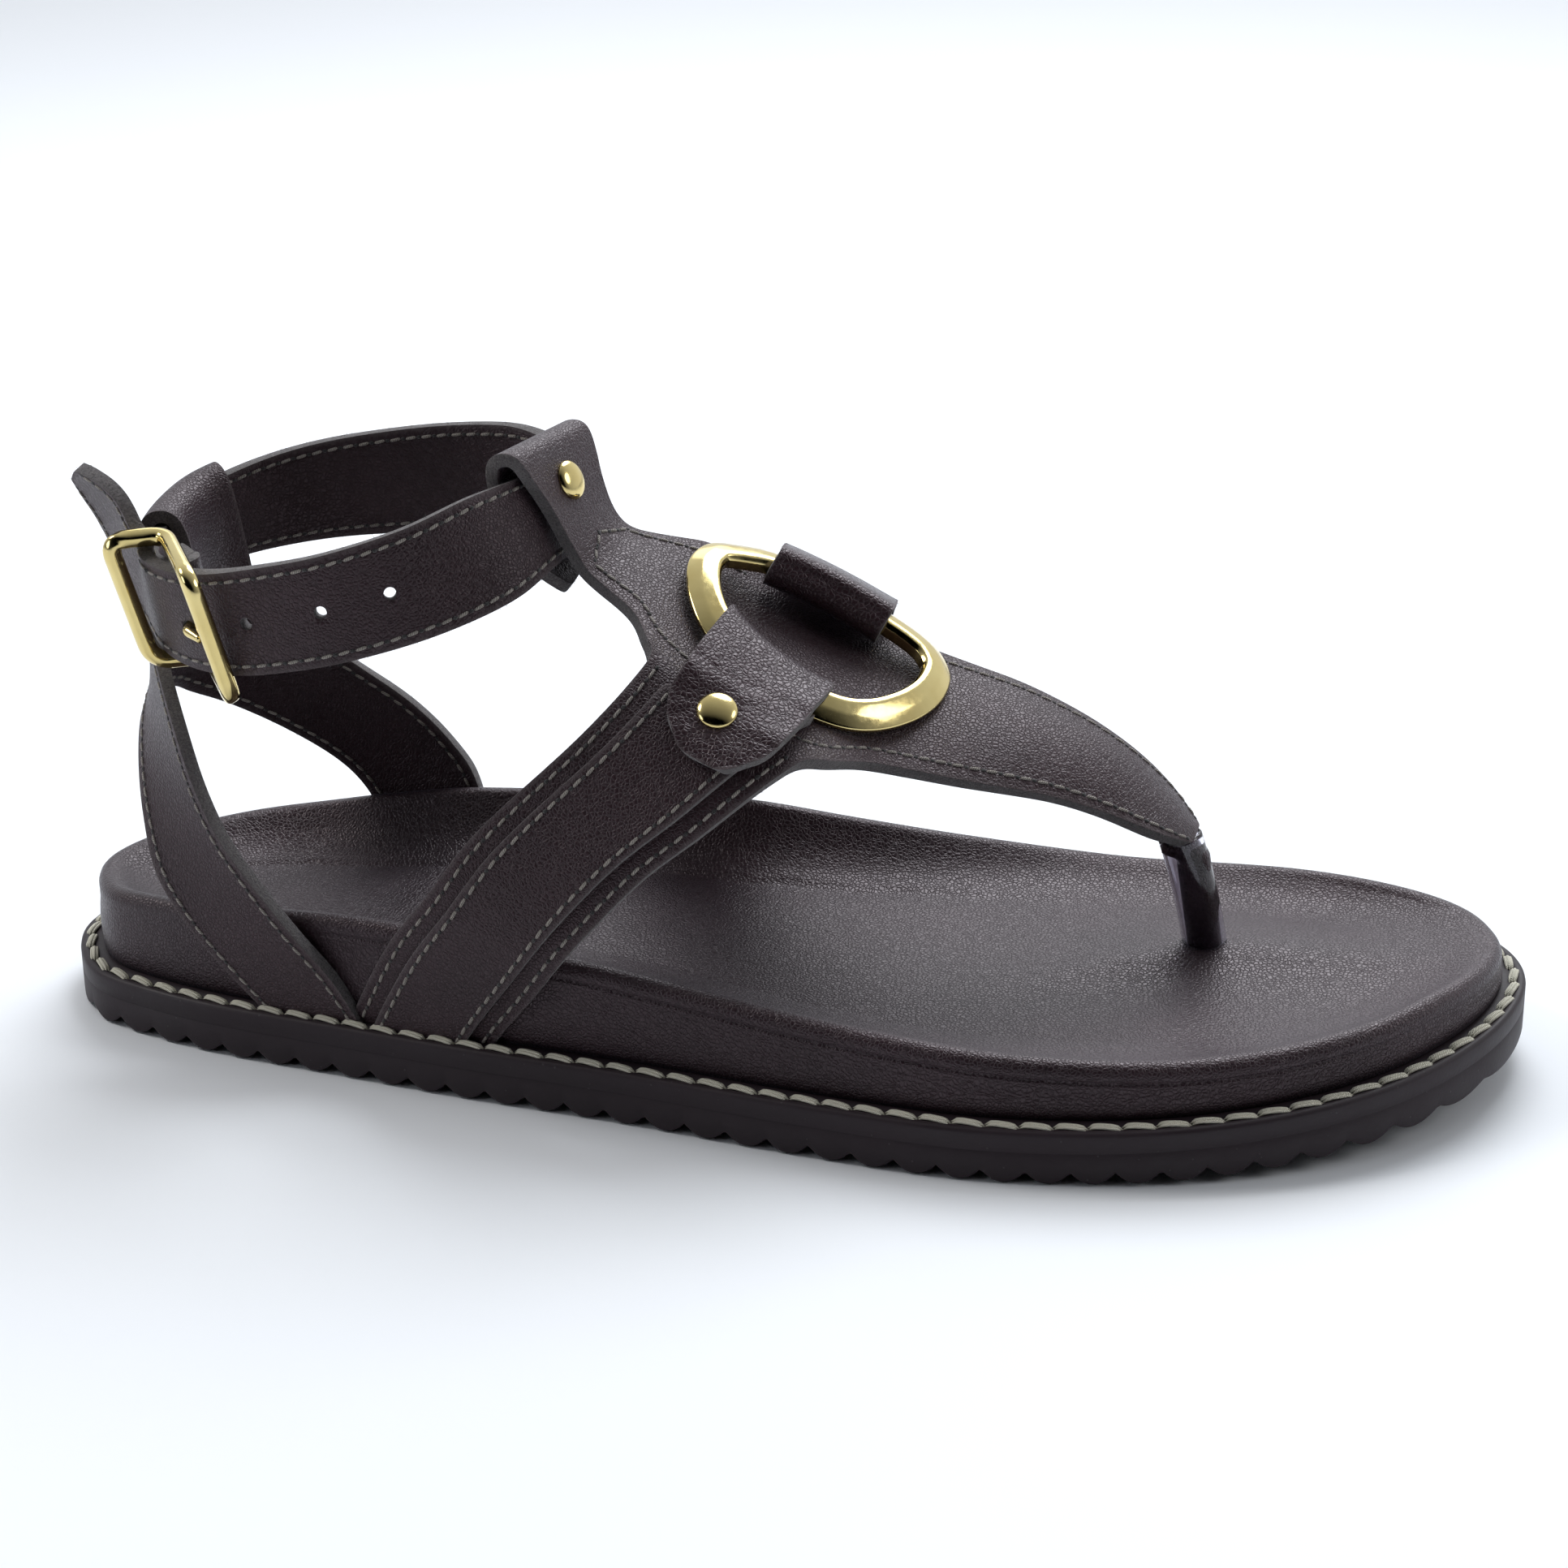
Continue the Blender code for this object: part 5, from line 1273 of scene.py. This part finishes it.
# Tube: the outer wall up, a rounded rim and the inner wall down, turned about a line that bends by bend*h^2.
# Thong: an oval carried up the tube's middle, which bends over into the tip of the vamp.
def buildPost():
    foot, top = np.array(post["foot"]), np.array(post["top"])
    axis = unit(top - foot)
    length = np.linalg.norm(top - foot)
    side, other = unit(np.cross((0, 1.0, 0), axis)), np.array((0, 1.0, 0))
    rise = np.concatenate([np.linspace(-2.2, post["rise"], 30), [post["rise"] + 0.25, post["rise"] + 0.25],
                           np.linspace(post["rise"], -2.0, 30)])
    outer, inner = post["radius"], post["radius"] - post["wall"]
    reach = np.concatenate([np.full(30, outer), [outer - 0.25, inner + 0.25], np.full(30, inner)])
    turn = np.linspace(0, 2 * np.pi, 48, endpoint=False)
    bend = post["bend"] * np.clip(rise, 0, None) ** 2
    spine = foot + axis * rise[:, None] + side * bend[:, None]
    points = spine[:, None] + circle(side, other, turn[:, None])[None] * reach[:, None, None]
    faces = quads(numbered(points), wrapRows=True, wrapColumns=True)
    makePiece("clearSleeve", points, faces, clear, "clear_plastic", "toe_sleeve", sharp=50)
    share = np.linspace(0, 1, 40)
    over = np.clip((share - 0.82) / 0.18, 0, 1)
    spine = foot + axis * (-post["socket"] + share[:, None] * (length + 3.4))
    spine = spine + np.outer(over ** 2, post["thongEnd"])
    ahead = unit(np.gradient(spine, axis=0))
    across = np.broadcast_to(other, spine.shape)
    out = np.cross(across, ahead)
    profile = superellipse(*post["thong"], 2.6, 32)
    thick = 3.0 - 1.4 * over
    wide = 1.0 + 0.15 * over
    points = (spine[:, None] + across[:, None] * profile[None, :, :1] * wide[:, None, None]
              + out[:, None] * profile[None, :, 1:] * thick[:, None, None])
    index = numbered(points)
    faces = [*quads(index, wrapColumns=True), index[0], index[-1]]
    farFromEdge = np.full(points[..., 0].size, 9.0)
    makePiece("thongLeather", points, faces, strapLeather, "strap_leather", "toe_thong", sharp=60,
              values={"edge": farFromEdge})


buildPost()
print("toe post made")


fuzz = {"perMillimetre": 1.5, "reach": (0.25, 0.95), "base": 0.05}


# Needles with three sides on the cut edge faces: root in the leather, tip at root + length*(normal + jitter).
def buildFuzz(name, holders):
    draw = np.random.default_rng(7)
    roots, tips = [], []
    for holder in holders:
        data = holder.data
        cut = [face for face in data.polygons if face.material_index == 1]
        areas = np.array([face.area for face in cut]) * 1e6
        chosen = draw.choice(len(cut), int(areas.sum() * fuzz["perMillimetre"] / 2.4), p=areas / areas.sum())
        for number in chosen:
            face = cut[number]
            ends = toLast([data.vertices[k].co for k in face.vertices])
            weights = draw.dirichlet(np.ones(len(ends)))
            root = weights @ ends
            way = unit(np.array(face.normal) + draw.normal(0, 0.75, 3))
            roots.append(root - way * 0.1)
            tips.append(root + way * draw.uniform(*fuzz["reach"]) ** 1.6)
    roots, tips = np.array(roots), np.array(tips)
    ahead = unit(tips - roots)
    side = unit(np.cross(ahead, (0.31, 0.52, 0.79)))
    other = np.cross(ahead, side)
    turn = np.radians((90, 210, 330))
    base = roots[:, None] + fuzz["base"] * circle(side[:, None], other[:, None], turn[:, None])
    points = np.concatenate([base, tips[:, None]], axis=1).reshape(-1, 3)
    start = np.arange(len(roots))[:, None] * 4
    faces = np.concatenate([start + (0, 1, 3), start + (1, 2, 3), start + (2, 0, 3), start + (0, 2, 1)])
    makePiece(name, points, faces, suede, "strap_leather")


buildFuzz("edgeFibres", [bpy.data.objects[name] for name in (
    "vampLeather", "slingLeather", "ankleLeather", "tabLateral", "tabMedial", "overlayLateral", "overlayMedial")])
print("fibres made")


studio = {
    "floor": (0.86, 0.88, 0.91), "reach": 4000.0, "world": (0.93, 0.96, 1.0), "worldStrength": 1.0,
    "wall": 0.8,  # how bright the studio looks beyond the floor
    "angles": (11.638, 22.0, -0.640), "lens": 73.63, "place": (0.209027, -0.520429, 0.262225),  # of the camera
    "lights": (
        # name, place, aim, size, power, colour
        ("key", (-0.75, 0.00, 0.85), (0.08, 0.0, 0.03), 0.40, 4.0, (1.0, 0.98, 0.96)),
        ("top", (0.20, 0.60, 0.85), (0.10, 0.0, 0.03), 0.65, 7.0, (0.92, 0.96, 1.0)),
        ("side", (1.05, 0.05, 0.60), (0.08, 0.0, 0.04), 0.5, 2.0, (1.0, 1.0, 1.0)),
        ("backdrop", (0.05, 1.55, 1.10), (0.05, 1.45, 0.0), 1.6, 9.0, (0.95, 0.97, 1.0)),
        ("front", (-1.10, -0.75, 0.45), (0.00, -0.20, 0.0), 0.6, 2.8, (0.90, 0.94, 1.0)),
    ),
}


# Floor, a world that is bright behind the shoe and dark before it, and the lamps.
def buildStage():
    made, tree, shader = newMaterial("floorPaint")
    fill(tree, shader, {"Base Color": (*studio["floor"], 1.0), "Roughness": 0.6, "Specular IOR Level": 0.2})
    corners = np.array([(-1, -1, 0), (1, -1, 0), (1, 1, 0), (-1, 1, 0)]) * studio["reach"]
    makeMesh("floor", corners, [(0, 1, 2, 3)], [made])
    world = bpy.data.worlds.new("studio")
    bpy.context.scene.world = world
    world.use_nodes = True
    back = world.node_tree.nodes["Background"]
    tree = world.node_tree
    way = addNode(tree, "ShaderNodeSeparateXYZ", {0: addNode(tree, "ShaderNodeTexCoord").outputs["Generated"]})
    share = maths(tree, "MULTIPLY_ADD", way.outputs["Y"], 0.70, 0.44, clamp=True)
    back.inputs["Color"].default_value = (*studio["world"], 1.0)
    lit = maths(tree, "MULTIPLY", share, studio["worldStrength"])
    # Beyond the floor's edge the studio is seen pale from every side, and lights the shoe as before.
    seen = maths(tree, "MULTIPLY", addNode(tree, "ShaderNodeLightPath").outputs["Is Camera Ray"], studio["wall"])
    tree.links.new(maths(tree, "MAXIMUM", lit, seen), back.inputs["Strength"])
    for name, place, aim, size, power, colour in studio["lights"]:
        light = bpy.data.lights.new(name, "AREA")
        light.shape = "DISK"
        light.size = size
        light.energy = power
        light.color = colour
        lamp = bpy.data.objects.new(name, light)
        bpy.context.scene.collection.objects.link(lamp)
        lamp.location = place
        lamp.rotation_euler = (Vector(aim) - Vector(place)).to_track_quat("-Z", "Y").to_euler()


# The camera's back axis from its turn and tilt, then its roll about that axis.
def buildCamera():
    turn, tilt, roll = map(math.radians, studio["angles"])
    back = Vector((math.sin(turn) * math.cos(tilt), -math.cos(turn) * math.cos(tilt), math.sin(tilt)))
    right = Vector((math.cos(turn), math.sin(turn), 0.0))
    up = back.cross(right)
    right, up = (right * math.cos(roll) + up * math.sin(roll), up * math.cos(roll) - right * math.sin(roll))
    data = bpy.data.cameras.new("photoCamera")
    data.lens = studio["lens"]
    data.sensor_width = 36.0
    data.clip_start = 0.01
    camera = bpy.data.objects.new("photoCamera", data)
    bpy.context.scene.collection.objects.link(camera)
    axes = Matrix((right, up, back)).transposed().to_4x4()
    camera.matrix_world = Matrix.Translation(studio["place"]) @ axes
    bpy.context.scene.camera = camera


buildStage()
buildCamera()
bpy.context.scene.view_settings.view_transform = "Standard"
print("stage made")
